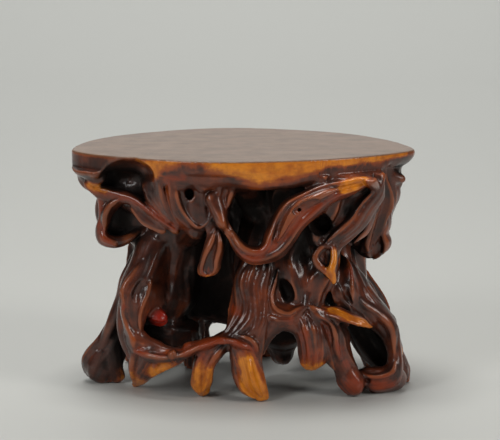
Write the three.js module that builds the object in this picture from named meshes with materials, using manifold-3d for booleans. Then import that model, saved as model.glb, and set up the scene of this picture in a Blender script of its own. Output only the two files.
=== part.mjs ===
// A small Chinese display stand: a flat oval board carried by a knot of carved roots.
// Each root stem is a carved piece of its own, and round pegs hold the stems to the board and to each other.
// Millimetres, +Z up, +X to the right, the front towards -Y. The origin is on the floor under the middle
// of the board.
import * as THREE from 'three';
import Module from 'manifold-3d';

// Overall sizes
const boardLength = 150;
const boardDepth = 116;
const boardThickness = 7;
const standHeight = 106;

// Thickness of the roots where they are at their fullest
const heartThickness = 30;
const trunkThickness = 22;
const legThickness = 15;
const branchThickness = 11;
const ribbonThickness = 8.5;
const strandThickness = 7;
const toeThickness = 9;

// Joinery
const glueGap = 0.3;
const pegThickness = 4;
const pegLength = 13;
const pegDepthInBoard = 4.5;
const pinThickness = 2;
const pinLength = 6.5;
const pegClearance = 0.2;

// Edge of the board
const widestLine = -18;
const fullness = { front: 1.62, back: 1.8 };
const rimRound = 1;
const rimFall = 1.6;
const rimBelly = 1.1;
const rimUndercut = 4.5;
const outlineWaves = [
  { waves: 3, depth: 0.012, shift: 0.8 },
  { waves: 7, depth: 0.008, shift: 2 },
];

// Depth of the flutes along a root, and the rounding of a root's ends, as shares of its radius
const fluteDepth = 0.09;
const endRound = { ringAhead: 0.55, ringWidth: 0.72, tipAhead: 0.85 };

// Fineness of the surfaces
const rootSides = 8;
const ringSpacing = 9;
const boardSides = 56;
const pegSides = 8;
const hollowSides = 12;

const underside = standHeight - boardThickness;

// The roots are drawn on a stand of these sizes, and stretch with the stand.
const drawn = { length: 150, depth: 116, underside: 99 };
const stretch = [boardLength / drawn.length, boardDepth / drawn.depth, underside / drawn.underside];

const wasm = await Module();
wasm.setup();

// Where a drawn point is on the stand.
const place = (point) => new THREE.Vector3(...point).multiply(new THREE.Vector3(...stretch));

// A closed skin over rings of points, with a fan of triangles over each end.
function skin(rings, firstPole, lastPole) {
  const sides = rings[0].length;
  const points = [firstPole, ...rings.flat(), lastPole];
  const last = points.length - 1;
  const corners = [];
  for (let k = 0; k < sides; k++) {
    const next = (k + 1) % sides;
    corners.push(0, 1 + next, 1 + k);
    corners.push(last, last - sides + k, last - sides + next);
    for (let ring = 1; ring < rings.length; ring++) {
      const low = 1 + (ring - 1) * sides;
      const high = low + sides;
      corners.push(low + k, low + next, high + next, low + k, high + next, high + k);
    }
  }
  const geometry = new THREE.BufferGeometry().setFromPoints(points);
  geometry.setIndex(corners);
  return geometry;
}

// A geometry with shared vertices, as a solid that can be joined and cut.
function solidOf(geometry) {
  return new wasm.Manifold(
    new wasm.Mesh({
      numProp: 3,
      vertProperties: new Float32Array(geometry.attributes.position.array),
      triVerts: new Uint32Array(geometry.index.array),
    }),
  );
}

// A value between the values given at equal steps of a route, along a smooth curve.
function between(values, t) {
  const curve = new THREE.SplineCurve(values.map((value, i) => new THREE.Vector2(i, value)));
  return curve.getPoint(t).y;
}

// A root: an oval or fluted tube along a smooth route, tapered and rounded at both ends.
// Its width lies across the direction it faces, and flat is its thickness as a share of its width.
function rootSolid({ route, thickness, taper, flat = 1, face = [0, -1, 0.2], flutes = 0 }, growth = 0) {
  const points = route.map((point) => new THREE.Vector3(...point));
  const curve = new THREE.CatmullRomCurve3(points, false, 'centripetal');
  const steps = Math.max(3, Math.round(curve.getLength() / ringSpacing));
  const sides = flutes ? 2 * flutes : rootSides;
  const depth = flutes ? fluteDepth : 0;
  const towards = new THREE.Vector3(...face).normalize();
  const ringAt = (t, advance, share) => {
    const along = curve.getTangent(t);
    const across = new THREE.Vector3().crossVectors(along, towards).normalize();
    const out = new THREE.Vector3().crossVectors(across, along);
    const radius = (thickness / 2) * between(taper, t) + growth;
    const centre = curve.getPoint(t).addScaledVector(along, advance * radius);
    const thin = (radius - growth) * flat + growth;
    return Array.from({ length: sides }, (_, k) => {
      const angle = (2 * Math.PI * k) / sides;
      const swell = share * (1 + depth * Math.cos(flutes * angle));
      return centre
        .clone()
        .addScaledVector(across, radius * swell * Math.cos(angle))
        .addScaledVector(out, -thin * swell * Math.sin(angle));
    });
  };
  const pole = (t, advance) => {
    const radius = (thickness / 2) * between(taper, t) + growth;
    return curve.getPoint(t).addScaledVector(curve.getTangent(t), advance * radius);
  };
  const { ringAhead, ringWidth, tipAhead } = endRound;
  const rings = [ringAt(0, -ringAhead, ringWidth)];
  for (let i = 0; i <= steps; i++) rings.push(ringAt(i / steps, 0, 1));
  rings.push(ringAt(1, ringAhead, ringWidth));
  return solidOf(skin(rings, pole(0, -tipAhead), pole(1, tipAhead)));
}

// A hollow: a sphere stretched to three half sizes.
function ovalSolid({ at, half }) {
  const rings = [];
  const levels = hollowSides / 2;
  for (let level = 1; level < levels; level++) {
    const tilt = (Math.PI * level) / levels;
    rings.push(
      Array.from({ length: hollowSides }, (_, k) => {
        const turn = (2 * Math.PI * k) / hollowSides;
        return new THREE.Vector3(
          Math.sin(tilt) * Math.cos(turn),
          Math.sin(tilt) * Math.sin(turn),
          -Math.cos(tilt),
        );
      }),
    );
  }
  const geometry = skin(rings, new THREE.Vector3(0, 0, -1), new THREE.Vector3(0, 0, 1));
  geometry.scale(...half).translate(...at);
  return solidOf(geometry);
}

// A round bar between two points, for pegs and the holes that take them.
function barSolid(from, to, radius) {
  const along = new THREE.Vector3().subVectors(to, from);
  const length = along.length();
  const rings = [0, length].map((height) =>
    Array.from({ length: pegSides }, (_, k) => {
      const turn = (2 * Math.PI * k) / pegSides;
      return new THREE.Vector3(radius * Math.cos(turn), radius * Math.sin(turn), height);
    }),
  );
  const geometry = skin(rings, new THREE.Vector3(0, 0, 0), new THREE.Vector3(0, 0, length));
  const turn = new THREE.Quaternion().setFromUnitVectors(new THREE.Vector3(0, 0, 1), along.normalize());
  geometry.applyQuaternion(turn).translate(from.x, from.y, from.z);
  return solidOf(geometry);
}

// A box, much wider than the stand, that holds everything between two heights.
function layer(low, high) {
  const reach = boardLength + boardDepth;
  const corner = (x, y, z) => new THREE.Vector3(x * reach, y * reach, z);
  const square = (z) => [corner(-1, -1, z), corner(1, -1, z), corner(1, 1, z), corner(-1, 1, z)];
  return solidOf(skin([square(low), square(high)], corner(0, 0, low), corner(0, 0, high)));
}

// The board's outline at a given inset: two half ovals that meet at the widest line, a little uneven,
// fitted to the board's length and depth. An oval of fullness 2 is an ellipse, and a lower one is drawn in.
function boardOutline(inset, z) {
  const raw = Array.from({ length: boardSides }, (_, k) => {
    const turn = (2 * Math.PI * k) / boardSides;
    const uneven = outlineWaves.reduce(
      (sum, { waves, depth, shift }) => sum + depth * Math.sin(waves * turn + shift),
      1,
    );
    const back = Math.sin(turn) > 0;
    const reach = back ? boardDepth / 2 - widestLine : boardDepth / 2 + widestLine;
    const power = 2 / (back ? fullness.back : fullness.front);
    const drawnIn = (value) => Math.sign(value) * Math.abs(value) ** power;
    return [
      (boardLength / 2) * uneven * drawnIn(Math.cos(turn)),
      widestLine + reach * uneven * drawnIn(Math.sin(turn)),
    ];
  });
  const fit = (values, size) => {
    const low = Math.min(...values);
    const high = Math.max(...values);
    return values.map((value) => ((value - (low + high) / 2) * (size - 2 * inset)) / (high - low));
  };
  const xs = fit(raw.map((point) => point[0]), boardLength);
  const ys = fit(raw.map((point) => point[1]), boardDepth);
  return xs.map((x, k) => new THREE.Vector3(x, ys[k], z));
}

// The board: flat above, a rounded upper edge, and a rim that draws in towards the roots.
function boardSolid() {
  const rings = [
    boardOutline(rimUndercut, underside),
    boardOutline(rimBelly, underside + boardThickness / 2),
    boardOutline(0, standHeight - rimFall),
    boardOutline(rimRound, standHeight),
  ];
  const middle = (z) => new THREE.Vector3(0, 0, z);
  return solidOf(skin(rings, middle(underside), middle(standHeight)));
}

// The stems, each a piece of its own, from the front to the back. Hollows are cut into a piece.
const stems = [
  {
    name: 'centre_leg',
    roots: [
      // fluted trunk that flares towards the floor
      {
        route: [[12, -22, 80], [5, -31, 62], [4, -36, 48], [3, -40, 36], [-2, -43, 27]],
        thickness: trunkThickness, taper: [0.9, 0.85, 0.8, 0.85, 0.7], flat: 0.8, flutes: 6,
      },
      // strand down the left side of the trunk
      {
        route: [[2, -37, 60], [0, -40, 49], [0, -42, 41], [-3, -44, 34], [-8, -45, 28]],
        thickness: strandThickness, taper: [0.8, 0.8, 0.8, 0.8, 0.7],
      },
      // the two toes
      {
        route: [[-4, -42, 28], [-13, -43, 23], [-19, -42, 13], [-19, -39, 1]],
        thickness: toeThickness, taper: [1, 1.1, 1.2, 0.9],
      },
      {
        route: [[-2, -44, 28], [-1, -46, 22], [3, -48, 13], [9, -46, 1]],
        thickness: toeThickness, taper: [1.2, 1.25, 1.3, 0.6],
      },
      // sharp right edge that runs on into the right toe
      {
        route: [[14, -37, 60], [13, -41, 47], [12, -43, 37], [8, -46, 24], [8, -47, 12], [11, -46, 2]],
        thickness: strandThickness, taper: [0.8, 0.75, 0.75, 0.7, 0.7, 0.5],
      },
    ],
  },
  {
    name: 'right_front_leg',
    roots: [
      // broad stem from the crown to the knot where the strands part
      {
        route: [[24, -18, 86], [23, -26, 72], [22, -32, 58], [24, -37, 46], [29, -39, 36]],
        thickness: trunkThickness, taper: [1.2, 1.2, 1.15, 0.95, 0.55], flat: 0.75, flutes: 6,
      },
      {
        route: [[12, -26, 68], [14, -32, 57], [18, -37, 46]],
        thickness: trunkThickness, taper: [0.7, 0.65, 0.6], flat: 0.8,
      },
      // body of the stem between the slit and the hook
      {
        route: [[31, -34, 72], [32, -34, 60], [31, -37, 48], [30, -40, 40]],
        thickness: trunkThickness, taper: [0.8, 0.8, 0.75, 0.5],
      },
      // lip of the slit
      {
        route: [[14, -41, 61], [13, -44, 50], [14, -45, 42], [18, -46, 39], [23, -46, 41]],
        thickness: strandThickness, taper: [0.7, 0.75, 0.75, 0.85, 0.8],
      },
      {
        route: [[17, -40, 63], [21, -43, 55], [24, -44, 47], [24, -45, 41]],
        thickness: strandThickness, taper: [0.7, 0.85, 0.85, 0.8],
      },
      // leg with a knob foot
      {
        route: [[27, -41, 42], [33, -43, 33], [37, -43, 24], [41, -39, 14], [44, -35, 4]],
        thickness: branchThickness, taper: [0.85, 0.85, 0.85, 0.9, 1.2],
      },
      // short cut root that hangs clear of the floor
      {
        route: [[23, -41, 42], [28, -44, 32], [29, -45, 19]],
        thickness: legThickness, taper: [0.75, 0.95, 1], flutes: 4,
      },
      // arch towards the centre leg
      {
        route: [[10, -37, 42], [17, -39, 40], [24, -40, 36]],
        thickness: branchThickness, taper: [0.8, 0.8, 0.8],
      },
      {
        route: [[26, -43, 37], [20, -44, 35], [14, -44, 32], [10, -44, 26]],
        thickness: strandThickness, taper: [0.9, 0.85, 0.8, 0.6],
      },
      // flat spur that points right
      {
        route: [[31, -43, 42], [42, -47, 38], [55, -46, 34]],
        thickness: branchThickness, taper: [0.9, 0.8, 0.35], flat: 0.45, face: [0, -0.4, 1],
      },
    ],
    hollows: [{ at: [19, -48, 50], half: [2, 5, 5] }],
  },
  {
    name: 'ring_leg',
    roots: [
      // shoulder that comes down from the crown
      {
        route: [[36, -18, 84], [38, -18, 70], [40, -21, 56], [45, -26, 44], [54, -29, 34]],
        thickness: trunkThickness, taper: [0.9, 0.8, 0.75, 0.7, 0.5], flat: 0.85, flutes: 6,
      },
      {
        route: [
          [46, -10, 74], [43, -14, 60], [46, -18, 47], [52, -23, 38], [59, -27, 31],
          [64, -29, 24], [65, -30, 15], [62, -30, 7], [58, -30, 3],
        ],
        thickness: branchThickness, taper: [1.2, 1.1, 1, 0.95, 0.9, 0.8, 0.8, 1, 1.1],
      },
      {
        route: [[42, -28, 54], [44, -32, 43], [45, -34, 36]],
        thickness: trunkThickness, taper: [0.75, 0.7, 0.45],
      },
      // strand down the front of the shoulder
      {
        route: [[38, -34, 54], [43, -35, 46], [47, -35, 39], [52, -33, 33], [58, -32, 28]],
        thickness: strandThickness, taper: [0.75, 0.8, 0.8, 0.75, 0.6],
      },
      // root behind the ring
      {
        route: [[46, -12, 44], [54, -12, 28], [61, -13, 17], [67, -13, 7]],
        thickness: trunkThickness, taper: [0.95, 0.85, 0.75, 0.55],
      },
      // foot that closes the ring
      {
        route: [[62, -30, 6], [56, -31, 4], [50, -32, 5], [45, -34, 9]],
        thickness: branchThickness, taper: [1, 0.9, 0.7, 0.5],
      },
      {
        route: [[63, -24, 30], [67, -18, 20], [70, -13, 10], [71, -12, 1]],
        thickness: strandThickness, taper: [0.8, 0.8, 0.85, 0.75],
      },
    ],
  },
  {
    name: 'left_front_leg',
    roots: [
      {
        route: [
          [-37, -20, 68], [-40, -25, 57], [-45, -30, 47],
          [-48, -33, 37], [-48, -35, 27], [-46, -35, 19],
        ],
        thickness: legThickness, taper: [0.9, 0.95, 0.95, 0.9, 0.8, 0.6], flutes: 5,
      },
      {
        route: [[-44, -16, 62], [-50, -23, 48], [-53, -28, 36], [-51, -31, 25], [-47, -32, 16]],
        thickness: strandThickness, taper: [0.9, 1, 1, 0.9, 0.8],
      },
      // web down to the stretcher
      {
        route: [[-46, -30, 34], [-40, -31, 29], [-33, -35, 25], [-26, -41, 22]],
        thickness: legThickness, taper: [0.8, 0.9, 0.75, 0.4],
      },
      // wedge-shaped toe
      {
        route: [[-27, -42, 19], [-35, -38, 14], [-42, -29, 8], [-48, -20, 1]],
        thickness: branchThickness, taper: [0.5, 0.75, 0.75, 0.4], flat: 0.65,
      },
      {
        route: [[-46, -36, 21], [-46, -33, 14], [-47, -26, 6], [-48, -21, 1]],
        thickness: toeThickness, taper: [0.8, 0.75, 0.6, 0.4],
      },
      // knob on the inner side
      {
        route: [[-46, -28, 35], [-41, -26, 34], [-38, -26, 33]],
        thickness: strandThickness, taper: [1, 0.95, 0.9],
      },
    ],
    hollows: [{ at: [-46, -39, 44], half: [1.8, 3.5, 7] }],
  },
  {
    name: 'stretcher_root',
    roots: [
      {
        route: [
          [-46, -39, 21], [-36, -42, 19], [-25, -44, 21], [-16, -45, 24],
          [-8, -46, 27], [0, -49, 26], [6, -50, 21],
        ],
        thickness: ribbonThickness, taper: [0.6, 0.8, 0.85, 0.8, 0.75, 0.75, 0.5],
        flat: 0.6, face: [0, -0.5, 1],
      },
    ],
  },
  {
    name: 'left_rear_leg',
    roots: [
      {
        route: [[-42, -8, 80], [-41, -6, 64], [-44, -8, 48], [-50, -10, 32], [-58, -10, 18], [-64, -9, 5]],
        thickness: legThickness, taper: [1.2, 1.05, 1, 0.95, 0.85, 1], flutes: 5,
      },
      {
        route: [[-52, -14, 34], [-57, -14, 22], [-58, -14, 10], [-57, -12, 4]],
        thickness: strandThickness, taper: [0.8, 0.9, 1, 1.1],
      },
      {
        route: [
          [-47, -18, 58], [-52, -19, 48], [-55, -18, 38],
          [-57, -17, 28], [-62, -14, 18], [-67, -11, 9],
        ],
        thickness: strandThickness, taper: [0.8, 0.9, 0.9, 0.85, 0.8, 0.8],
      },
    ],
  },
  {
    name: 'left_shoulder_root',
    roots: [
      {
        route: [[-50, -18, 97], [-46, -14, 86], [-42, -10, 75]],
        thickness: trunkThickness, taper: [1, 0.9, 0.8], flutes: 5,
      },
      {
        route: [[-36, -32, 97], [-38, -28, 88], [-38, -20, 78]],
        thickness: branchThickness, taper: [1, 0.9, 0.9],
      },
      // rolled edge under the rim
      {
        route: [[-62, -34, 98], [-68, -26, 98], [-69, -16, 98], [-64, -3, 98]],
        thickness: ribbonThickness, taper: [0.8, 0.9, 0.9, 0.7],
      },
      {
        route: [[-52, -20, 97], [-60, -20, 98], [-68, -20, 99]],
        thickness: branchThickness, taper: [1, 0.8, 0.6],
      },
    ],
  },
  {
    name: 'left_ear_root',
    roots: [
      // arm with a round tip
      {
        route: [
          [-67, -30, 93], [-62, -29, 90], [-56, -29, 86],
          [-48, -32, 87], [-40, -36, 83], [-32, -39, 77],
        ],
        thickness: ribbonThickness, taper: [0.7, 0.8, 0.75, 0.7, 0.65, 0.6],
      },
      // hanging lobe with a cup
      {
        route: [[-59, -29, 87], [-60, -27, 79], [-59, -26, 73], [-53, -25, 71], [-45, -18, 74]],
        thickness: legThickness, taper: [0.7, 0.95, 1.05, 1, 0.8],
      },
      {
        route: [[-53, -21, 86], [-53, -20, 79], [-50, -18, 73]],
        thickness: trunkThickness, taper: [0.6, 0.75, 0.6], flat: 0.6,
      },
      // web between the arm and the shoulder
      {
        route: [[-50, -28, 84], [-43, -30, 80], [-37, -30, 76]],
        thickness: branchThickness, taper: [0.7, 0.9, 0.8], flat: 0.7,
      },
    ],
    hollows: [{ at: [-52, -34, 80], half: [5, 8, 5.5] }],
  },
  {
    name: 'front_left_root',
    roots: [
      {
        route: [[-22, -40, 98], [-22, -40, 89], [-22, -37, 80], [-26, -24, 72]],
        thickness: trunkThickness, taper: [1.25, 1.15, 0.85, 0.7], flat: 0.85, flutes: 6,
      },
      {
        route: [[-40, -38, 97], [-37, -40, 89], [-30, -41, 80], [-22, -40, 74]],
        thickness: strandThickness, taper: [1, 0.9, 0.8, 0.6],
      },
      {
        route: [[-2, -46, 98], [-8, -47, 92], [-13, -48, 84], [-20, -46, 76]],
        thickness: ribbonThickness, taper: [1, 0.9, 0.8, 0.7],
      },
      // crown that spreads under the rim
      {
        route: [[-34, -43, 98], [-24, -46, 96], [-12, -47, 96], [-4, -47, 98]],
        thickness: legThickness, taper: [0.8, 1, 1, 0.8],
      },
      // ridge down the crown, and the spoon under the eye
      {
        route: [[-29, -47, 98], [-29, -47, 92], [-28, -46, 84], [-24, -45, 77]],
        thickness: strandThickness, taper: [1, 0.8, 0.8, 0.8],
      },
      {
        route: [[-25, -46, 88], [-22, -48, 83], [-18, -48, 82], [-16, -48, 86]],
        thickness: strandThickness, taper: [0.7, 1, 1, 0.7],
      },
    ],
    hollows: [{ at: [-22, -52, 90], half: [2.6, 5, 4] }],
  },
  {
    name: 'front_right_root',
    roots: [
      {
        route: [[24, -34, 98], [19, -31, 89], [16, -28, 79]],
        thickness: trunkThickness, taper: [1.2, 1, 0.8], flat: 0.8,
      },
      {
        route: [[2, -40, 98], [4, -32, 88], [8, -26, 78]],
        thickness: trunkThickness, taper: [0.9, 0.7, 0.6],
      },
      {
        route: [[46, -34, 98], [39, -31, 91], [31, -28, 84]],
        thickness: trunkThickness, taper: [0.9, 0.8, 0.7],
      },
      // body behind the curtain
      {
        route: [[34, -38, 96], [34, -37, 86], [31, -36, 76], [30, -35, 69]],
        thickness: trunkThickness, taper: [0.9, 0.85, 0.8, 0.6],
      },
      // band under the rim
      {
        route: [[-2, -47, 97], [10, -48, 97], [24, -45, 97], [40, -39, 97], [54, -32, 97]],
        thickness: branchThickness, taper: [0.8, 0.8, 0.8, 0.8, 0.7],
      },
    ],
    hollows: [{ at: [5, -52, 80], half: [9.5, 15, 11] }],
  },
  {
    name: 'swag_root',
    roots: [
      {
        route: [
          [-9, -46, 92], [-9, -50, 84], [-6, -52, 76], [0, -53, 69], [6, -53, 66], [12, -53, 71],
          [16, -53, 79], [22, -53, 87], [30, -52, 92], [41, -49, 95], [54, -45, 97],
        ],
        thickness: ribbonThickness, taper: [0.7, 0.75, 0.8, 0.85, 0.9, 0.95, 1.15, 1.3, 1.05, 0.85, 0.8],
        flat: 0.6,
      },
      // hanging drip beside the swag
      {
        route: [[-11, -48, 84], [-14, -48, 74], [-16, -49, 65], [-17, -48, 58]],
        thickness: ribbonThickness, taper: [0.8, 1.1, 1.3, 1], flat: 0.85,
      },
    ],
    hollows: [{ at: [-16, -54, 64], half: [1.2, 3, 4] }],
  },
  {
    name: 'right_drape_root',
    roots: [
      {
        route: [[63, -20, 98], [62, -20, 90], [59, -18, 80], [57, -17, 70], [58, -17, 63]],
        thickness: trunkThickness, taper: [0.5, 0.65, 0.8, 0.8, 0.5],
        flat: 0.6, flutes: 6, face: [0.4, -1, 0],
      },
      {
        route: [[56, -27, 96], [57, -26, 86], [57, -22, 76], [57, -19, 66]],
        thickness: trunkThickness, taper: [0.7, 0.75, 0.8, 0.55], flat: 0.7,
      },
      {
        route: [[52, -10, 97], [52, -10, 86], [48, -10, 74]],
        thickness: trunkThickness, taper: [0.8, 0.75, 0.7],
      },
      // knob under the rim
      {
        route: [[56, -24, 96], [64, -24, 95], [69, -23, 94]],
        thickness: strandThickness, taper: [1, 0.9, 0.7],
      },
      {
        route: [[67, -18, 93], [63, -12, 85], [61, -10, 77], [61, -10, 68]],
        thickness: strandThickness, taper: [0.8, 0.8, 0.9, 0.8],
      },
    ],
  },
  {
    name: 'hook_root',
    roots: [
      {
        route: [[56, -39, 97], [54, -41, 88], [48, -41, 77], [41, -42, 68], [35, -41, 61]],
        thickness: branchThickness, taper: [0.85, 0.85, 0.9, 0.85, 0.55], flutes: 4,
      },
      {
        route: [[45, -38, 95], [44, -40, 85], [39, -41, 75], [35, -40, 67]],
        thickness: strandThickness, taper: [0.7, 0.8, 0.8, 0.7],
      },
      // amber hook
      {
        route: [[38, -43, 68], [37, -46, 63], [35, -47, 58], [38, -47, 53]],
        thickness: strandThickness, taper: [0.7, 0.7, 0.6, 0.5],
      },
      {
        route: [[36, -40, 68], [31, -42, 65], [31, -44, 60], [35, -46, 56]],
        thickness: strandThickness, taper: [0.6, 0.6, 0.6, 0.5],
      },
    ],
  },
  {
    name: 'inner_stump',
    roots: [
      {
        route: [
          [-20, 0, 97], [-24, -4, 78], [-30, -8, 58], [-31, -6, 42],
          [-26, 2, 26], [-20, 12, 12], [-18, 16, 2],
        ],
        thickness: trunkThickness, taper: [1.1, 1.1, 1, 0.9, 0.8, 0.6, 0.6], flutes: 6,
      },
      {
        route: [[-34, -2, 60], [-38, 4, 44], [-36, 8, 30]],
        thickness: branchThickness, taper: [1, 1, 0.9],
      },
      // heart of the stand, behind the crown
      {
        route: [[-29, -14, 92], [-31, -11, 72], [-33, -12, 54], [-35, -14, 38], [-37, -18, 27]],
        thickness: heartThickness, taper: [1.15, 1.15, 1, 0.85, 0.5],
      },
      {
        route: [[-12, -8, 92], [-10, 0, 72], [-9, 2, 58], [-9, 3, 47]],
        thickness: heartThickness, taper: [1.15, 1.15, 1.1, 0.8],
      },
      {
        route: [[8, -10, 92], [9, -6, 70], [10, -2, 50], [14, 2, 34], [17, 4, 20], [18, 5, 10]],
        thickness: heartThickness, taper: [1.2, 1.15, 1, 0.8, 0.65, 0.35],
      },
    ],
  },
  {
    name: 'rear_centre_leg',
    roots: [
      // fluted trunk that leans to one side and spreads under the board
      {
        route: [[4, 40, 98], [3, 32, 84], [0, 27, 66], [-3, 29, 46], [0, 35, 30], [4, 40, 18]],
        thickness: trunkThickness, taper: [1.3, 1.1, 1, 0.95, 0.85, 0.6], flutes: 6, face: [0, 1, 0.2],
      },
      {
        route: [[18, 40, 98], [14, 38, 86], [8, 35, 72], [2, 35, 56]],
        thickness: strandThickness, taper: [1.1, 1, 0.9, 0.8], face: [0, 1, 0.2],
      },
      {
        route: [[-12, 42, 98], [-8, 39, 86], [-5, 35, 72]],
        thickness: strandThickness, taper: [1.1, 1, 0.8], face: [0, 1, 0.2],
      },
      {
        route: [[3, 38, 24], [7, 42, 13], [10, 44, 2]],
        thickness: toeThickness, taper: [1.1, 1.2, 1.1], face: [0, 1, 0.2],
      },
      {
        route: [[-5, 30, 42], [-11, 35, 28], [-15, 40, 15], [-16, 43, 2]],
        thickness: branchThickness, taper: [1, 0.95, 0.85, 1], face: [0, 1, 0.2],
      },
    ],
  },
  {
    name: 'rear_left_leg',
    roots: [
      {
        route: [[-38, 24, 98], [-34, 20, 82], [-32, 18, 64], [-36, 22, 46], [-42, 28, 28], [-47, 32, 4]],
        thickness: trunkThickness, taper: [1.1, 0.95, 0.8, 0.8, 0.65, 0.75], flutes: 6, face: [-0.6, 1, 0.2],
      },
      {
        route: [[-52, 6, 97], [-46, 8, 86], [-40, 12, 72]],
        thickness: legThickness, taper: [1.1, 1, 0.9], face: [-1, 0.4, 0.2],
      },
      {
        route: [[-62, 0, 97], [-57, 8, 86], [-49, 14, 73], [-40, 18, 60]],
        thickness: strandThickness, taper: [1, 1, 0.95, 0.8], face: [-1, 0.6, 0.2],
      },
      // spur that points outwards
      {
        route: [[-40, 26, 38], [-48, 28, 33], [-55, 26, 32]],
        thickness: branchThickness, taper: [0.9, 0.75, 0.35], flat: 0.5, face: [0, 0.4, 1],
      },
    ],
  },
  {
    name: 'rear_right_leg',
    roots: [
      {
        route: [[42, 24, 98], [38, 20, 82], [37, 15, 64], [43, 14, 46], [57, 16, 26], [64, 18, 4]],
        thickness: trunkThickness, taper: [1.1, 1, 0.9, 0.9, 0.75, 0.7], flutes: 6, face: [0.6, 1, 0.2],
      },
      // heart of the stand on this side
      {
        route: [[38, -2, 90], [40, 0, 70], [44, 2, 54], [49, 4, 42]],
        thickness: heartThickness, taper: [1, 0.9, 0.75, 0.5],
      },
      {
        route: [[38, 18, 46], [33, 26, 30], [31, 33, 15], [31, 37, 2]],
        thickness: branchThickness, taper: [1, 0.95, 0.85, 1], face: [0, 1, 0.2],
      },
      {
        route: [[58, 6, 97], [54, 6, 84], [48, 8, 70]],
        thickness: legThickness, taper: [1.1, 1, 0.8], face: [1, 0.4, 0.2],
      },
      {
        route: [[62, -4, 97], [62, 4, 87], [58, 12, 75], [50, 17, 62], [46, 19, 48]],
        thickness: strandThickness, taper: [1, 1, 1, 0.9, 0.8], face: [1, 0.6, 0.2],
      },
    ],
  },
  {
    name: 'rear_stretcher_root',
    roots: [
      {
        route: [[-44, 31, 18], [-34, 36, 17], [-24, 40, 19], [-14, 42, 23], [-5, 40, 26]],
        thickness: ribbonThickness, taper: [0.7, 0.85, 0.85, 0.8, 0.6], flat: 0.65, face: [0, 0.5, 1],
      },
    ],
  },
  {
    name: 'rear_swag_root',
    roots: [
      {
        route: [
          [-34, 30, 94], [-28, 37, 86], [-18, 41, 77], [-6, 43, 71], [6, 44, 71], [15, 44, 78],
          [22, 43, 87], [32, 38, 93], [42, 33, 96],
        ],
        thickness: ribbonThickness, taper: [0.7, 0.85, 0.9, 0.95, 0.95, 1.1, 1.25, 1, 0.7],
        flat: 0.65, face: [0, 1, 0.2],
      },
      // hanging drip
      {
        route: [[19, 42, 82], [22, 42, 72], [25, 41, 63], [25, 40, 57]],
        thickness: ribbonThickness, taper: [0.8, 0.85, 0.95, 0.8], face: [0, 1, 0.2],
      },
    ],
  },
  {
    name: 'rear_drape_root',
    roots: [
      {
        route: [[-46, 24, 96], [-48, 24, 86], [-47, 24, 76], [-44, 24, 68]],
        thickness: legThickness, taper: [0.8, 0.95, 0.95, 0.55], flat: 0.6, flutes: 5, face: [-0.6, 1, 0],
      },
      {
        route: [[-26, 38, 97], [-34, 34, 92], [-42, 28, 86]],
        thickness: strandThickness, taper: [1, 0.9, 0.8], face: [0, 1, 0.2],
      },
    ],
  },
];

// Pegs that stand in the board and in the stem below it, by their places in plan.
const boardPegs = [
  { name: 'peg_front_left', at: [-22, -38] },
  { name: 'peg_front_right', at: [24, -32] },
  { name: 'peg_left_shoulder', at: [-49, -17] },
  { name: 'peg_inner_stump', at: [-20, 0] },
  { name: 'peg_right_drape', at: [52, -10] },
  { name: 'peg_rear_centre', at: [4, 38] },
  { name: 'peg_rear_left', at: [-38, 23] },
  { name: 'peg_rear_right', at: [42, 23] },
];

// Pegs and thin pins across the glue lines between two stems: the middle of each and the way it lies.
const jointPegs = [
  { name: 'peg_centre_leg_top', at: [11, -28, 82], along: [0, 0, 1] },
  { name: 'peg_centre_leg_side', at: [17, -24, 69], along: [1, 0, -0.5] },
  { name: 'peg_right_front_leg_top', at: [21, -26, 88], along: [0, 0, 1] },
  { name: 'peg_ring_leg_top', at: [35, -18, 78], along: [0, 0, 1] },
  { name: 'peg_right_drape_foot', at: [47, -9, 78], along: [0, 0, 1] },
  { name: 'peg_left_rear_leg_top', at: [-42, -15, 83], along: [0, 0, 1] },
  { name: 'peg_inner_stump_side', at: [-34, -3, 65], along: [1, 0, 0] },
];
const jointPins = [
  { name: 'pin_ring_leg_foot', at: [49, -32, 6], along: [1, -0.2, 0] },
  { name: 'pin_left_front_leg_back', at: [-44, -13, 61], along: [0, 1, 0] },
  { name: 'pin_left_front_leg_inside', at: [-33, -16, 64], along: [0, 1, -0.5] },
  { name: 'pin_left_ear_back', at: [-53, -19, 83], along: [0, 1, 0.5] },
  { name: 'pin_left_ear_front', at: [-31, -40, 79], along: [1, -0.5, 0.5] },
  { name: 'pin_front_left_side', at: [-39, -36, 96], along: [0, 1, 0] },
  { name: 'pin_front_joint', at: [-3, -43, 95], along: [0, 1, -0.5] },
  { name: 'pin_swag_left', at: [-10, -50, 84], along: [0.5, -0.5, -1] },
  { name: 'pin_swag_right', at: [55, -44, 95], along: [0.3, 1, -0.6] },
  { name: 'pin_hook', at: [44, -38, 88], along: [0, 0.5, 1] },
  { name: 'pin_stretcher_left', at: [-31, -42, 19], along: [0, 1, -0.5] },
  { name: 'pin_stretcher_right', at: [-19, -43, 23], along: [1, 0, 0] },
  { name: 'pin_rear_stretcher_left', at: [-38, 34, 17], along: [1, 1, 0] },
  { name: 'pin_rear_stretcher_right', at: [-17, 41, 20], along: [1, -0.5, -0.5] },
  { name: 'pin_rear_drape', at: [-47, 23, 90], along: [1, 0, 0.5] },
  { name: 'pin_rear_swag_left', at: [-33, 33, 90], along: [1, 0.5, 0] },
  { name: 'pin_rear_swag_right', at: [38, 34, 94], along: [0.5, -1, -0.5] },
];

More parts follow.
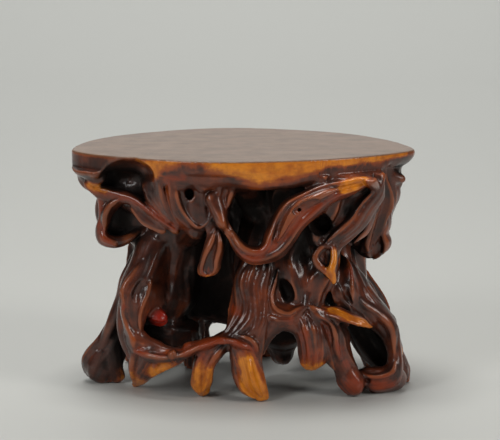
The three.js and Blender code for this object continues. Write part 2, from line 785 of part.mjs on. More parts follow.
// Every peg with its two ends and its thickness.
function pegPlaces() {
  const across = ({ name, at, along }, thickness, length) => {
    const half = new THREE.Vector3(...along).setLength(length / 2);
    const middle = place(at);
    return { name, thickness, from: middle.clone().sub(half), to: middle.clone().add(half) };
  };
  const upright = boardPegs.map(({ name, at: [x, y] }) => {
    const top = place([x, y, 0]).setZ(underside + pegDepthInBoard);
    return { name, thickness: pegThickness, from: top.clone().setZ(top.z - pegLength), to: top };
  });
  return [
    ...upright,
    ...jointPegs.map((peg) => across(peg, pegThickness, pegLength)),
    ...jointPins.map((pin) => across(pin, pinThickness, pinLength)),
  ];
}

// The holes for the pegs, a little wider and longer than the pegs.
function pegHoles(pegs) {
  return wasm.Manifold.union(
    pegs.map(({ from, to, thickness }) => {
      const extra = new THREE.Vector3().subVectors(to, from).setLength(pegClearance);
      return barSolid(from.clone().sub(extra), to.clone().add(extra), thickness / 2 + pegClearance);
    }),
  );
}

// The stems as solids. Each is cut back from the stems made before it, so that it meets them at a glue line,
// keeps only its main body, and is stretched to the size of the stand.
function stemSolids() {
  const room = layer(0, drawn.underside - glueGap);
  const made = [];
  for (const { name, roots, hollows = [] } of stems) {
    const shape = (growth) => wasm.Manifold.union(roots.map((root) => rootSolid(root, growth)));
    let solid = shape(0).intersect(room);
    for (const hollow of hollows) solid = solid.subtract(ovalSolid(hollow));
    for (const earlier of made) solid = solid.subtract(earlier.grown);
    const bodies = solid.decompose().sort((a, b) => b.volume() - a.volume());
    made.push({ name, body: bodies[0], grown: shape(glueGap) });
  }
  return made.map(({ name, body }) => ({ name, solid: body.scale(stretch) }));
}

const materials = {
  board: new THREE.MeshStandardMaterial({ color: 0x4a2c1e, roughness: 0.32, metalness: 0 }),
  root: new THREE.MeshStandardMaterial({ color: 0x4b1d0e, roughness: 0.28, metalness: 0 }),
  peg: new THREE.MeshStandardMaterial({ color: 0xb98a4e, roughness: 0.7, metalness: 0 }),
};

// A named mesh from a solid.
function meshOf(name, solid, material) {
  const { vertProperties, triVerts } = solid.getMesh();
  const geometry = new THREE.BufferGeometry();
  geometry.setAttribute('position', new THREE.BufferAttribute(vertProperties, 3));
  geometry.setIndex(new THREE.BufferAttribute(triVerts, 1));
  const mesh = new THREE.Mesh(geometry, material);
  mesh.name = name;
  return mesh;
}

const pegs = pegPlaces();
const holes = pegHoles(pegs);
const stand = new THREE.Group();
stand.name = 'root_display_stand';
stand.add(meshOf('top_board', boardSolid().subtract(holes), materials.board));
for (const { name, solid } of stemSolids()) stand.add(meshOf(name, solid.subtract(holes), materials.root));
for (const { name, from, to, thickness } of pegs) {
  stand.add(meshOf(name, barSolid(from, to, thickness / 2), materials.peg));
}

export default stand;
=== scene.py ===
"""Dresses a small root display stand: lacquered root stems that flow into a flat board, on a pale floor."""

import functools
import math

import bpy
import numpy as np
from bpy.props import FloatProperty, FloatVectorProperty, PointerProperty
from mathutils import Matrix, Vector


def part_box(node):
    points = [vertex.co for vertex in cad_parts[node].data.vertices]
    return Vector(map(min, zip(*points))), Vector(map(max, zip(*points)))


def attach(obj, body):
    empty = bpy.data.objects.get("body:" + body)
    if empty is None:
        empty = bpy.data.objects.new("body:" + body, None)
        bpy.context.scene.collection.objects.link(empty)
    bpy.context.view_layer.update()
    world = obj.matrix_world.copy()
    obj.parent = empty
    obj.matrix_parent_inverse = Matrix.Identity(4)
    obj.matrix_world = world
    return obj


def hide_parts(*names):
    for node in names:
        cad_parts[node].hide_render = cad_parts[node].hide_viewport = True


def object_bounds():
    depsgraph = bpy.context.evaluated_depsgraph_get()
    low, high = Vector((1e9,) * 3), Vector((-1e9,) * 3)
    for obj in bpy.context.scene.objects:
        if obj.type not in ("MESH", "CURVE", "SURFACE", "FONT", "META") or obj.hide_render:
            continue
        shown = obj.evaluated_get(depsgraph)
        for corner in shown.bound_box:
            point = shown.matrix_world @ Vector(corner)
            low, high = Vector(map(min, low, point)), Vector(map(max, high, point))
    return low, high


bl_info = {
    "name": "Root Display Stand",
    "version": (1, 0, 0),
    "blender": (4, 5, 0),
    "location": "View3D > Sidebar > Root Stand",
    "description": "Carves, lacquers and lights a small root display stand",
    "category": "Add Mesh",
}

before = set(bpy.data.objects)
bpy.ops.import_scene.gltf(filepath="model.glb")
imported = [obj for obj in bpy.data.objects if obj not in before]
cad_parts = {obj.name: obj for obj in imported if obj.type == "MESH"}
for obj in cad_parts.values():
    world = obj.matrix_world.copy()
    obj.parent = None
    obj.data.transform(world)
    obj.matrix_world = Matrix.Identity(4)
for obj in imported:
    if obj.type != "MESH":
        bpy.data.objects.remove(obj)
CAD_BOX = [list(corner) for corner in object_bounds()]
MM = 0.001
BOARD_LOW, BOARD_HIGH = (np.array(corner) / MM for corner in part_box("top_board"))
UNDERSIDE = float(BOARD_LOW[2])
TOP = float(BOARD_HIGH[2])
LENGTH = float(BOARD_HIGH[0] - BOARD_LOW[0])
DEPTH = float(BOARD_HIGH[1] - BOARD_LOW[1])

# The routes are drawn in millimetres on a stand of this length, depth and height under the board.
DRAWN = np.array([150.0, 116.0, 99.0])
STRETCH = np.array([LENGTH, DEPTH, UNDERSIDE]) / DRAWN

# The edge of the board, how softly the roots run into it, and how fast they may spread under its outline
WIDEST_LINE = -18
FULLNESS_FRONT = 1.62
FULLNESS_BACK = 1.8
RIM_ROUND = 0.8
RIM_FALL = 1.6
RIM_UNDERCUT = 7.0
BOARD_BLEND = 7.0
STEM_SPREAD = 5

# How far routes wander and the length of their waves, and how often the net is smoothed
WARP = 0.8
WARP_LENGTH = 9.0
SMOOTHING = 2

# Vertices this near to the floor or to the board's face are on it, in millimetres.
ON_FACE = 0.02

# Thickness of the roots where they are at their fullest, in millimetres
HEART, TRUNK, LEG, BRANCH = 30.0, 22.0, 15.0, 11.0
TOE, RIBBON, STRAND, RIDGE = 9.0, 8.5, 7.0, 2.6

# Directions that the broad side of a root can face
FORWARD, BEHIND, UPRIGHT = (0, -1, 0.2), (0, 1, 0.2), (0, 0, 1)


class Root:
    """One root of a stem: its route, its thickness along it, and how its skin is flattened and fluted."""

    SPACING = 1.0
    CHUNK = 60000
    # A crest widens behind its line, and fades in at its ends over this length.
    SPREAD = 0.55
    FADE, FADE_POWER = 6, 0.6
    # Waves along the root: share of the radius, and length in millimetres per radian
    SLOW_WAVE, QUICK_WAVE = (0.05, 7.5), (0.03, 3.9)
    # Two sets of flutes wind round the root, in radians per millimetre. The second has fewer and weaker ones.
    WIND, SECOND_WIND = 0.035, 0.03
    FEWER, WEAKER = 3, 0.7
    CREST_RISE, VALLEY_FALL = 1.6, 0.9
    PHASES = np.array([0.37, 1.91, 4.4])
    # Greatest reach of the skin as a share of the radius
    SWOLLEN = 1.3

    def __init__(
        self, route, thick, taper, flat=1.0, flutes=0, face=FORWARD, depth=0.17, blend=1.6, hollow=False,
        back=1.0,
    ):
        self.flat, self.flutes, self.depth, self.blend = flat, flutes, depth, blend
        self.hollow, self.back = hollow, back
        self.centre, share = smooth_route(np.array(route, float) * STRETCH, self.SPACING)
        step = np.gradient(self.centre, axis=0)
        self.along = step / np.linalg.norm(step, axis=1, keepdims=True)
        across = np.cross(self.along, np.array(face, float))
        self.across = across / np.linalg.norm(across, axis=1, keepdims=True)
        self.out = np.cross(self.across, self.along)
        taper = np.array(taper, float)
        self.radius = 0.5 * thick * np.interp(share * (len(taper) - 1), np.arange(len(taper)), taper)
        if back > 1:
            steps = np.arange(len(self.centre))
            nearer = np.minimum(steps, steps[::-1])
            self.radius *= np.clip((nearer + 0.5) * self.SPACING / self.FADE, 0, 1) ** self.FADE_POWER
        self.phase = self.PHASES * (1 + self.centre[0].sum())

    def follow(self, points):
        """Position of points along and around the root.

        The nearest sample of the centre line is found first, then the place between samples by the
        projection on the tangent. Returns the place in millimetres from the start, the offsets across and
        out, the overshoot past an end, and the radius there.
        """
        last = len(self.centre) - 1
        nearest = np.empty(len(points), np.int64)
        square = (self.centre**2).sum(1).astype(np.float32)
        line = self.centre.T.astype(np.float32)
        for start in range(0, len(points), self.CHUNK):
            part = points[start : start + self.CHUNK]
            nearest[start : start + len(part)] = (square - 2 * (part @ line)).argmin(1)
        ahead = ((points - self.centre[nearest]) * self.along[nearest]).sum(1)
        place = np.clip(nearest + np.clip(ahead / self.SPACING, -1, 1), 0, last)
        low = np.minimum(place.astype(np.int64), last - 1)
        part = (place - low)[:, None]

        def mixed(values):
            return values[low] * (1 - part) + values[low + 1] * part

        offset = points - mixed(self.centre)
        over = np.where((place <= 0) | (place >= last), (offset * mixed(self.along)).sum(1), 0)
        across = (offset * mixed(self.across)).sum(1)
        out = (offset * mixed(self.out)).sum(1)
        radius = mixed(self.radius[:, None])[:, 0]
        return place * self.SPACING, across, out, over, radius

    def distance(self, points):
        """Signed distance from the root's skin, negative inside.

        The skin is an ellipse round the centre line with half sizes radius and radius times flat. A root with
        a back longer than 1 reaches that many times further behind its line, and widens there, so that it
        stands out of the body as a crest. Two sets of flutes swell it by depth times the sum of 1 minus the
        size of a sine round the root, scaled and lowered, so that the crests are sharp and the valleys
        between them round. Two waves along the root make it knobbly.
        """
        place, across, out, over, radius = self.follow(points)
        behind = np.maximum(-out, 0) / radius
        tall = (out + (1 - 1 / self.back) * behind * radius) / self.flat
        across = across / (1 + self.SPREAD * np.minimum(behind, self.back) * (self.back > 1))
        reach = np.sqrt(across**2 + tall**2 + over**2) + 1e-6
        slope = np.sqrt(across**2 + (tall / self.flat) ** 2 + over**2) / reach
        a, b, c = self.phase
        (slow, slow_length), (quick, quick_length) = self.SLOW_WAVE, self.QUICK_WAVE
        swell = slow * np.sin(place / slow_length + a) + quick * np.sin(place / quick_length + b)
        if self.flutes:
            turn = np.arctan2(tall, across)
            second = 0.5 * (self.flutes - self.FEWER) * turn + c - self.SECOND_WIND * place
            rise = 1 - np.abs(np.sin(0.5 * self.flutes * turn + a + self.WIND * place))
            rise += self.WEAKER * (1 - np.abs(np.sin(second)))
            swell += self.depth * (self.CREST_RISE * rise - self.VALLEY_FALL)
        return (reach - radius * (1 + swell)) / slope


def heart(route, taper, depth=0.04):
    """A thick, lightly fluted root that fills the middle of the stand."""
    return Root(route, HEART, taper, flutes=9, depth=depth, blend=3)


def crest(route, taper, blend=0.5, back=5):
    """A thin ridge that stands out of the stem behind it."""
    return Root(route, RIDGE, taper, blend=blend, back=back)


def crests(taper, routes, blend=0.5, back=5):
    """Crests of one form along several routes."""
    return [crest(route, taper, blend, back) for route in routes]


def hollow(route, thick, taper, **form):
    """A hollow in the shape of a root."""
    return Root(route, thick, taper, hollow=True, **form)


def smooth_route(points, spacing):
    """Points of a smooth curve through the given ones, and each one's share of the way.

    Each stretch is a cubic whose end slopes come from its neighbours, weighted by the square roots of the
    distances between them. The curve is then sampled at equal lengths.
    """
    steps = 24
    ends = np.vstack([2 * points[0] - points[1], points, 2 * points[-1] - points[-2]])
    gap = np.sqrt(np.linalg.norm(np.diff(ends, axis=0), axis=1))[:, None]
    before, start, stop, after = ends[:-3], ends[1:-2], ends[2:-1], ends[3:]
    g0, g1, g2 = gap[:-2], gap[1:-1], gap[2:]
    leave = g1 * ((start - before) / g0 - (stop - before) / (g0 + g1) + (stop - start) / g1)
    arrive = g1 * ((stop - start) / g1 - (after - start) / (g1 + g2) + (after - stop) / g2)
    t = np.linspace(0, 1, steps + 1)[:-1, None, None]
    curve = start + leave * t + (3 * (stop - start) - 2 * leave - arrive) * t**2
    curve = curve + (2 * (start - stop) + leave + arrive) * t**3
    curve = np.vstack([curve.transpose(1, 0, 2).reshape(-1, 3), points[-1]])
    length = np.r_[0, np.cumsum(np.linalg.norm(np.diff(curve, axis=0), axis=1))]
    count = max(4, int(round(length[-1] / spacing)) + 1)
    even = np.linspace(0, length[-1], count)
    share = np.interp(even, length, np.linspace(0, 1, len(curve)))
    return np.stack([np.interp(even, length, curve[:, k]) for k in range(3)], 1), share


# The stems, each a piece of its own. A hollow is cut into everything that stands before it.
STEMS = {
    "inner_stump": [
        Root([(-20, 0, 97), (-24, -4, 78), (-30, -8, 58), (-31, -6, 42), (-27, 2, 26), (-23, 12, 12),
              (-21, 16, 2)], TRUNK, (1.1, 1.1, 1, 0.9, 0.6, 0.42, 0.42), flutes=8),
        heart([(-20, -2, 64), (-20, -2, 48), (-19, 0, 38)], (0.8, 0.8, 0.6)),
        Root([(-34, -2, 60), (-38, 4, 44), (-36, 8, 30)], BRANCH, (1, 1, 0.9)),
        # heart of the stand, behind the crown
        heart([(-29, -14, 92), (-31, -11, 72), (-33, -12, 54), (-35, -14, 38), (-37, -18, 27)],
              (1.15, 1.15, 1, 0.85, 0.5)),
        heart([(-12, -8, 92), (-10, 0, 72), (-9, 2, 58), (-9, 3, 47)], (1.15, 1.15, 1.1, 0.8)),
        heart([(-9, 2, 52), (-6, 2, 40), (-5, 3, 31)], (0.85, 0.7, 0.5)),
        Root([(-24, -2, 36), (-15, 1, 31), (-5, 2, 30.5)], BRANCH, (1.3, 1.25, 1.2), blend=3),
        # wall seen through the arch, painted black as shade by the shade strokes
        Root([(9, 0, 34), (17, 1, 27), (25, -1, 32)], TRUNK, (0.9, 1, 0.9), blend=3),
        Root([(9, -2, 27), (14, 0, 21), (21, 0, 20.5), (25, -2, 27)], LEG, (0.85, 0.9, 0.9, 0.85), blend=3),
        heart([(8, -10, 92), (9, -6, 70), (10, -2, 50), (14, 2, 34), (17, 4, 20), (18, 5, 10)],
              (1.2, 1.15, 1, 0.8, 0.65, 0.35), depth=0.05),
    ],
    "rear_centre_leg": [
        Root([(4, 40, 98), (3, 32, 84), (0, 27, 66), (-3, 29, 46), (0, 35, 30), (4, 40, 18)],
             TRUNK, (1.3, 1.1, 1, 0.95, 0.85, 0.6), flutes=8, face=BEHIND),
        Root([(18, 40, 98), (14, 38, 86), (8, 35, 72), (2, 35, 56)], STRAND, (1.1, 1, 0.9, 0.8), face=BEHIND),
        Root([(-12, 42, 98), (-8, 39, 86), (-5, 35, 72)], STRAND, (1.1, 1, 0.8), face=BEHIND),
        Root([(3, 38, 24), (7, 42, 13), (10, 44, 2)], TOE, (1.1, 1.2, 1.1), face=BEHIND, flutes=4),
        Root([(-5, 30, 42), (-13, 35, 28), (-20, 40, 15), (-21, 43, 2)],
             BRANCH, (1, 0.9, 0.75, 0.95), face=BEHIND, flutes=5),
    ],
    "rear_left_leg": [
        Root([(-38, 24, 98), (-34, 20, 82), (-32, 18, 64), (-36, 22, 46), (-42, 28, 28), (-47, 32, 4)],
             TRUNK, (1.1, 0.95, 0.8, 0.8, 0.65, 0.75), flutes=8, face=(-0.6, 1, 0.2)),
        Root([(-52, 6, 97), (-46, 8, 86), (-40, 12, 72)], LEG, (1.1, 1, 0.9), face=(-1, 0.4, 0.2), flutes=6),
        Root([(-62, 0, 97), (-57, 8, 86), (-49, 14, 73), (-40, 18, 60)],
             STRAND, (1, 1, 0.95, 0.8), face=(-1, 0.6, 0.2)),
        # spur that points outwards
        Root([(-40, 26, 38), (-48, 28, 33), (-55, 26, 32)],
             BRANCH, (0.9, 0.75, 0.35), flat=0.5, face=(0, 0.4, 1)),
    ],
    "rear_right_leg": [
        Root([(42, 24, 98), (38, 20, 82), (37, 15, 64), (43, 14, 46), (57, 16, 26), (64, 18, 4)],
             TRUNK, (1.1, 1, 0.9, 0.9, 0.75, 0.7), flutes=8, face=(0.6, 1, 0.2)),
        # heart of the stand on this side
        heart([(38, -2, 90), (40, 0, 70), (44, 2, 54), (49, 4, 42)], (1, 0.9, 0.75, 0.5), depth=0.1),
        Root([(38, 18, 46), (33, 26, 30), (31, 33, 15), (31, 37, 2)],
             BRANCH, (1, 0.95, 0.85, 1), face=BEHIND, flutes=5),
        Root([(58, 6, 97), (54, 6, 84), (48, 8, 70)], LEG, (1.1, 1, 0.8), face=(1, 0.4, 0.2), flutes=6),
        Root([(62, -4, 97), (62, 4, 87), (58, 12, 75), (50, 17, 62), (46, 19, 48)],
             STRAND, (1, 1, 1, 0.9, 0.8), face=(1, 0.6, 0.2)),
    ],
    "rear_stretcher_root": [
        Root([(-44, 31, 18), (-34, 36, 17), (-24, 40, 19), (-14, 42, 23), (-5, 40, 26)],
             RIBBON, (0.7, 0.85, 0.85, 0.8, 0.6), flat=0.65, face=(0, 0.5, 1)),
        Root([(-21, 41, 21), (-13.2, 40.8, 18.8)], STRAND, (0.8, 0.85), blend=2),
    ],
    "rear_swag_root": [
        Root([(-34, 30, 94), (-28, 37, 86), (-18, 41, 77), (-6, 43, 71), (6, 44, 71), (15, 44, 78),
              (22, 43, 87), (32, 38, 93), (42, 33, 96)],
             RIBBON, (0.7, 0.85, 0.9, 0.95, 0.95, 1.1, 1.25, 1, 0.7), flat=0.65, face=BEHIND),
        Root([(-36.5, 31, 90), (-29.5, 35, 90)], STRAND, (0.7, 0.7), face=BEHIND, blend=1),
        # hanging drip
        Root([(19, 42, 82), (22, 42, 72), (25, 41, 63), (25, 40, 57)],
             RIBBON, (0.8, 0.85, 0.95, 0.8), face=BEHIND),
    ],
    "rear_drape_root": [
        Root([(-46, 24, 96), (-48, 24, 86), (-47, 24, 76), (-44, 24, 68)],
             LEG, (0.8, 0.95, 0.95, 0.55), flat=0.6, flutes=5, face=(-0.6, 1, 0)),
        Root([(-26, 38, 97), (-34, 34, 92), (-42, 28, 86)], STRAND, (1, 0.9, 0.8), face=BEHIND),
    ],
    "left_rear_leg": [
        Root([(-42, -8, 80), (-41, -6, 64), (-44, -8, 48), (-50, -10, 32), (-58, -10, 18), (-64, -9, 8)],
             LEG, (1.2, 1.05, 1, 0.95, 0.85, 1), flutes=6),
        # round foot, painted black as shade by the shade strokes
        Root([(-62, -10, 12), (-65, -10, 6.5)], LEG, (0.9, 1), flutes=5, depth=0.03),
        Root([(-52, -14, 34), (-57, -14, 22), (-58, -14, 10), (-57, -12, 4)], STRAND, (0.8, 0.9, 1, 1.1)),
        Root([(-47, -18, 58), (-52, -19, 48), (-55, -18, 38), (-57, -17, 28), (-62, -14, 18), (-68, -11, 9)],
             STRAND, (0.8, 0.9, 0.9, 0.8, 0.7, 0.6), blend=1),
    ],
    "left_shoulder_root": [
        Root([(-50, -18, 97), (-46, -14, 86), (-42, -10, 75)], TRUNK, (1, 0.9, 0.8), flutes=7),
        Root([(-36, -32, 97), (-38, -28, 88), (-38, -20, 78)], BRANCH, (1, 0.9, 0.9)),
        # rolled edge under the rim
        Root([(-63, -35, 100), (-69, -28, 100), (-71, -18, 100), (-66, -4, 99)],
             RIBBON, (0.9, 1.05, 1.05, 0.8), blend=2),
        Root([(-52, -20, 97), (-60, -20, 98), (-68, -20, 99)], BRANCH, (1, 0.8, 0.6)),
        Root([(-66, -30, 97), (-64, -32, 95), (-61, -33, 96)], STRAND, (0.8, 0.8, 0.7), blend=1),
        # back wall of the pocket under the rim
        Root([(-66, -16, 94), (-56, -18, 91), (-46, -22, 90)], TRUNK, (0.7, 0.85, 0.8), blend=3),
    ],
    "front_left_root": [
        Root([(-21, -36.5, 98), (-21, -36.5, 89), (-20.5, -36.5, 80), (-24, -26, 71)],
             TRUNK, (1.3, 1.2, 0.8, 0.6), flat=0.85, flutes=8, depth=0.06),
        # crown that spreads under the rim
        Root([(-35, -43, 101), (-24, -45, 99), (-12, -46, 99), (-3, -47, 101)],
             LEG, (0.8, 1, 0.95, 0.8), blend=3),
        Root([(-40, -38, 97), (-37, -40, 89), (-30, -41, 80), (-22, -40, 74)], STRAND, (1, 0.9, 0.8, 0.6)),
        Root([(-18, -44, 90), (-18, -44, 82), (-20, -43, 74)], LEG, (0.9, 0.8, 0.5), flat=0.7, blend=2),
        # shallow spoon under the eye
        hollow([(-19.5, -54, 91), (-18.8, -53.3, 85), (-18.8, -50.5, 80)], LEG, (0.8, 0.72, 0.35), blend=0.6),
        # ridges that run down the crown
        crest([(-38, -46, 102), (-36.3, -47, 99), (-34.5, -46.5, 92), (-31.7, -46, 85), (-27, -44, 76)],
              (1, 0.9, 0.9, 0.9, 0.7), blend=0.7),
        crest([(-32, -49, 102), (-31, -49, 98), (-30, -48, 90), (-27, -47, 81.5), (-22, -45, 75)],
              (1.1, 1, 0.9, 0.9, 0.7), blend=0.7),
        crest([(-28.2, -49.5, 97), (-27.9, -49, 90.1), (-26.2, -48.5, 85), (-23, -48, 80), (-19, -47.5, 76.3),
               (-15.6, -48, 78.2), (-12.3, -48.5, 82.4), (-10.2, -49.5, 88), (-9.4, -50.5, 95)],
              (0.7, 0.8, 0.8, 0.8, 0.8, 0.8, 0.8, 0.8, 0.7), blend=0.8, back=4),
        Root([(-20, -52, 103), (-19, -50, 97), (-17, -49, 93)], STRAND, (0.8, 0.6, 0.3), blend=1.5),
        # folds between the crown and the swag
        Root([(-8, -51.4, 79.5), (-11.6, -48.5, 88.5)], STRAND, (0.95, 0.95), blend=1),
        Root([(-6, -46, 99), (-8, -47, 91), (-8, -47, 82), (-10, -46, 74)],
             RIBBON, (0.9, 0.9, 0.8, 0.6), flat=0.6, blend=1.5),
        *crests((0.7, 0.8, 0.8, 0.8, 0.6), [
            [(-9, -51, 96), (-10, -50, 89.7), (-9.8, -51, 83.4), (-7.7, -52, 77.1), (-3.4, -53, 71)],
            [(-4, -51, 95), (-5, -50, 88.6), (-5, -51, 81.3), (-2.9, -52, 76), (0.8, -53, 70.3)],
        ]),
        # leaf-shaped groove under the rim
        hollow([(-1, -56, 103), (-5.5, -54.5, 99.6), (-10.8, -53, 95.5), (-12.5, -52, 93)],
               RIDGE, (0.3, 0.9, 0.8, 0.3), blend=0.4),
        # eye
        hollow([(-22.3, -56, 91.5), (-22.3, -49, 91.3), (-22, -44, 90.5)],
               STRAND, (0.75, 0.7, 0.5), flat=1.2, face=UPRIGHT, blend=0.8),
    ],
    "front_right_root": [
        Root([(24, -34, 98), (19, -31, 89), (16, -28, 79)], TRUNK, (1.2, 1, 0.8), flat=0.8, flutes=7),
        Root([(2, -40, 98), (4, -32, 88), (8, -26, 78)], TRUNK, (0.9, 0.7, 0.6)),
        Root([(46, -34, 98), (39, -31, 91), (31, -28, 84)], TRUNK, (0.9, 0.8, 0.7), flutes=7),
        Root([(34, -40, 97), (34, -38, 86), (31, -36, 76), (30, -35, 68)],
             TRUNK, (0.9, 0.85, 0.85, 0.7), flutes=8, blend=3),
        # band under the rim
        Root([(-4, -50, 99), (10, -50, 98), (24, -48, 99), (40, -42, 100), (56, -34, 99)],
             BRANCH, (0.9, 0.9, 0.8, 0.8, 0.7), blend=4),
        # pocket inside the swag, painted black as shade by the shade strokes
        hollow([(3, -62, 81), (5, -48, 79), (7, -41, 78)],
               TRUNK, (0.9, 0.95, 0.7), flat=1.2, face=UPRIGHT, blend=2.5),
    ],
    "right_front_leg": [
        # broad stem from the crown to the knot where the strands part
        Root([(24, -18, 86), (23, -27, 72), (21.5, -34, 58), (24, -38, 47), (27, -39.5, 38)],
             TRUNK, (1.2, 1.2, 1.15, 0.95, 0.55), flat=0.75, flutes=7, depth=0.08, blend=2.5),
        Root([(12, -26, 68), (14, -32, 57), (17, -36, 46)], TRUNK, (0.7, 0.6, 0.5), flat=0.8),
        # body of the stem between the slit and the hook
        Root([(31, -34, 72), (32, -36, 60), (31, -38.5, 50), (30, -41, 43)],
             TRUNK, (0.8, 0.8, 0.7, 0.5), flutes=7, depth=0.1, blend=2.5),
        # recess under the right side of the swag
        hollow([(20, -47, 71), (25, -46, 65), (28, -46, 59)], LEG, (0.5, 0.8, 0.5), flat=1, blend=2.5),
        # almond-shaped slit
        hollow([(14, -47, 56), (17.8, -47.5, 51), (19.6, -48.5, 46.5), (18.3, -49, 41.5)],
               STRAND, (0.2, 0.85, 0.95, 0.4), flat=3, blend=0.4),
        # lip that sweeps round the slit and up to the knot
        crest([(14.4, -43, 58), (13.4, -44.5, 51), (13.2, -46, 46), (14.3, -47, 42.3), (17, -47.5, 40),
               (20.8, -47.5, 39.2), (24.6, -47.3, 41.6), (27.5, -47, 43.5)],
              (0.5, 0.6, 0.7, 0.8, 0.9, 0.9, 0.8, 0.8), blend=0.8),
        # fold that runs from the leg over the arch to the knot
        crest([(10, -45.5, 38), (15, -46.8, 36.8), (20, -47, 36.4), (25, -47, 38)],
              (0.6, 0.8, 0.8, 0.6), blend=0.8),
        # knot and the facets round it
        Root([(27.5, -42.5, 43), (28, -43, 41)], BRANCH, (0.75, 0.7), blend=1),
        Root([(27.3, -47, 42.8), (25, -47, 40), (22.8, -46.5, 37)],
             STRAND, (0.35, 0.5, 0.4), flat=0.6, blend=0.4),
        Root([(36, -41, 53), (31.4, -43, 49.5), (28.5, -45.5, 46.5), (27.3, -47, 43)],
             STRAND, (0.4, 0.5, 0.5, 0.35), flat=0.6, blend=0.4),
        Root([(27.5, -47, 43), (30.5, -48, 41), (33.5, -47.5, 39.5), (37, -46, 38)],
             STRAND, (0.3, 0.45, 0.45, 0.3), flat=0.6, blend=0.4),
        hollow([(30, -49, 43), (33, -49.5, 41.6), (36, -48.5, 40)],
               RIDGE, (0.3, 0.9, 0.4), flat=1.4, blend=0.4),
        # front leg with a round foot
        Root([(28, -42, 42), (33, -41.5, 36), (37, -41, 29), (39.5, -40, 22), (43, -38.5, 14),
              (46.5, -36.5, 8)], BRANCH, (0.7, 0.8, 0.78, 0.65, 0.75, 0.85)),
        Root([(46.5, -37, 7.5), (48.2, -36.5, 5.6)], BRANCH, (1.02, 1.05), blend=2),
        crest([(27.6, -47.5, 42.5), (29.4, -47.5, 40), (33, -47, 33), (35.6, -46, 25), (37.5, -43.5, 17.5),
               (40, -41.5, 11.5)], (0.8, 1, 1, 1, 1, 0.7)),
        crest([(28.6, -48, 42), (32.9, -48, 37.8), (37.3, -47, 34.5), (38.9, -46, 29.2), (39.4, -44.5, 23.4),
               (42, -42.5, 15)], (0.9, 1, 1, 1, 1, 0.7)),
        crest([(36, -45, 38), (40, -44.5, 33), (42, -43, 27), (43, -41.5, 21.5), (46.3, -40, 15.5),
               (51, -38, 11)], (0.8, 1, 1.1, 1.1, 1, 0.8)),
        # short cut root that hangs clear of the floor
        Root([(24, -40, 42), (28, -42, 34), (29.5, -42.5, 26), (29.6, -42, 18.5)],
             LEG, (0.65, 0.66, 0.66, 0.72), blend=1),
        *crests((0.9, 1.1, 1.1, 1.1), [
            [(24, -44, 36), (25, -45.5, 31), (25.3, -46, 23.5), (25.2, -45.5, 15.5)],
            [(25.5, -46.5, 38), (26.8, -47.5, 33), (27.5, -48, 26), (27.1, -47.5, 15)],
            [(28, -47, 38), (30, -48, 32.5), (30.3, -48.3, 25), (29.6, -48, 14.5)],
            [(30.5, -46.5, 36), (33.2, -47, 29.5), (33.4, -47.5, 23), (32.3, -47, 15)],
            [(31.5, -45.5, 36), (34, -45.5, 29), (34.6, -45.5, 22), (34, -45, 15.5)],
        ], blend=0.4),
        # arch towards the centre leg
        Root([(7, -43, 21), (9.2, -43.5, 28), (13, -44, 33), (17, -44, 34.7), (21, -44, 33.7), (25, -43, 30)],
             BRANCH, (0.4, 0.45, 0.52, 0.55, 0.55, 0.5), blend=2.5),
        crest([(25, -44, 33), (22.3, -45.5, 34.5), (19.1, -46, 35), (14.8, -46, 33.7), (11.5, -45.5, 31)],
              (0.8, 1, 1, 0.9, 0.7)),
        Root([(9, -40, 40), (17, -41.5, 38.5), (25, -42, 37)], BRANCH, (0.8, 0.8, 0.8), blend=2.5),
        # flat spur that points right
        Root([(34, -43, 40), (39, -46, 38.4), (45, -48, 36.6), (50, -47.5, 34.9), (55.5, -46, 33)],
             BRANCH, (0.6, 0.66, 0.56, 0.42, 0.15), flat=0.35, face=(0, -0.35, 1), blend=1),
        Root([(32, -43, 37.5), (40, -45, 36.3), (48, -46.5, 35), (53.5, -46, 33.6)],
             BRANCH, (0.6, 0.5, 0.36, 0.15), blend=1),
        crest([(35.7, -44, 40.8), (41, -46, 39.3), (46.9, -47.5, 37), (52.8, -47.5, 35), (55.6, -46.5, 32.8)],
              (0.7, 0.8, 0.8, 0.8, 0.7)),
    ],
    "ring_leg": [
        # shoulder that comes down from the crown
        Root([(36, -18, 84), (38, -18, 70), (40, -21, 56), (45, -26, 44), (54, -29, 34)],
             TRUNK, (0.95, 0.85, 0.8, 0.75, 0.5), flat=0.85, flutes=8, depth=0.1),
        Root([(46, -10, 74), (44, -14, 60), (46.5, -18, 47), (51.5, -23, 40), (58, -26, 32), (64.5, -28, 25),
              (67.3, -29, 16), (65.5, -30, 8), (60, -30, 5)],
             BRANCH, (1.15, 1.1, 1, 1, 1, 0.78, 0.65, 0.75, 0.9)),
        Root([(42, -28, 52), (44, -32, 43), (45, -34, 36)], TRUNK, (0.7, 0.65, 0.4), flutes=6, blend=2.5),
        # root behind the ring, painted black as shade by the shade strokes
        Root([(47, -12, 40), (54, -12, 28), (60, -13, 18), (67.5, -13, 6)],
             TRUNK, (0.9, 0.9, 0.8, 0.5), flutes=7, depth=0.06),
        # strands down the shoulder
        crest([(40, -35, 52), (42.5, -37, 46), (45.5, -37, 39.5), (49, -36, 35), (55, -34, 30)],
              (1.2, 1.4, 1.4, 1.3, 0.9), blend=0.6),
        crest([(44, -31, 56), (47, -33, 47), (51, -33.5, 41), (57, -32.5, 36), (62.3, -32, 31),
               (65.3, -32, 25), (66.5, -32.5, 17)], (1.2, 1.5, 1.5, 1.5, 1.5, 1.3, 0.8), blend=0.6),
        crest([(48, -22, 56), (50.5, -25, 47), (54, -27, 40), (60.5, -28, 33.5), (65, -28, 27), (68, -28, 19),
               (68, -28, 12)], (1.2, 1.4, 1.4, 1.4, 1.3, 1.3, 1.2), blend=0.6),
        # leaf-shaped recess on the shoulder
        hollow([(44.5, -38, 50), (46, -38.5, 44), (48.5, -38, 39.5)],
               RIDGE, (0.4, 1.1, 0.4), flat=1.5, blend=0.4),
        # foot that closes the ring
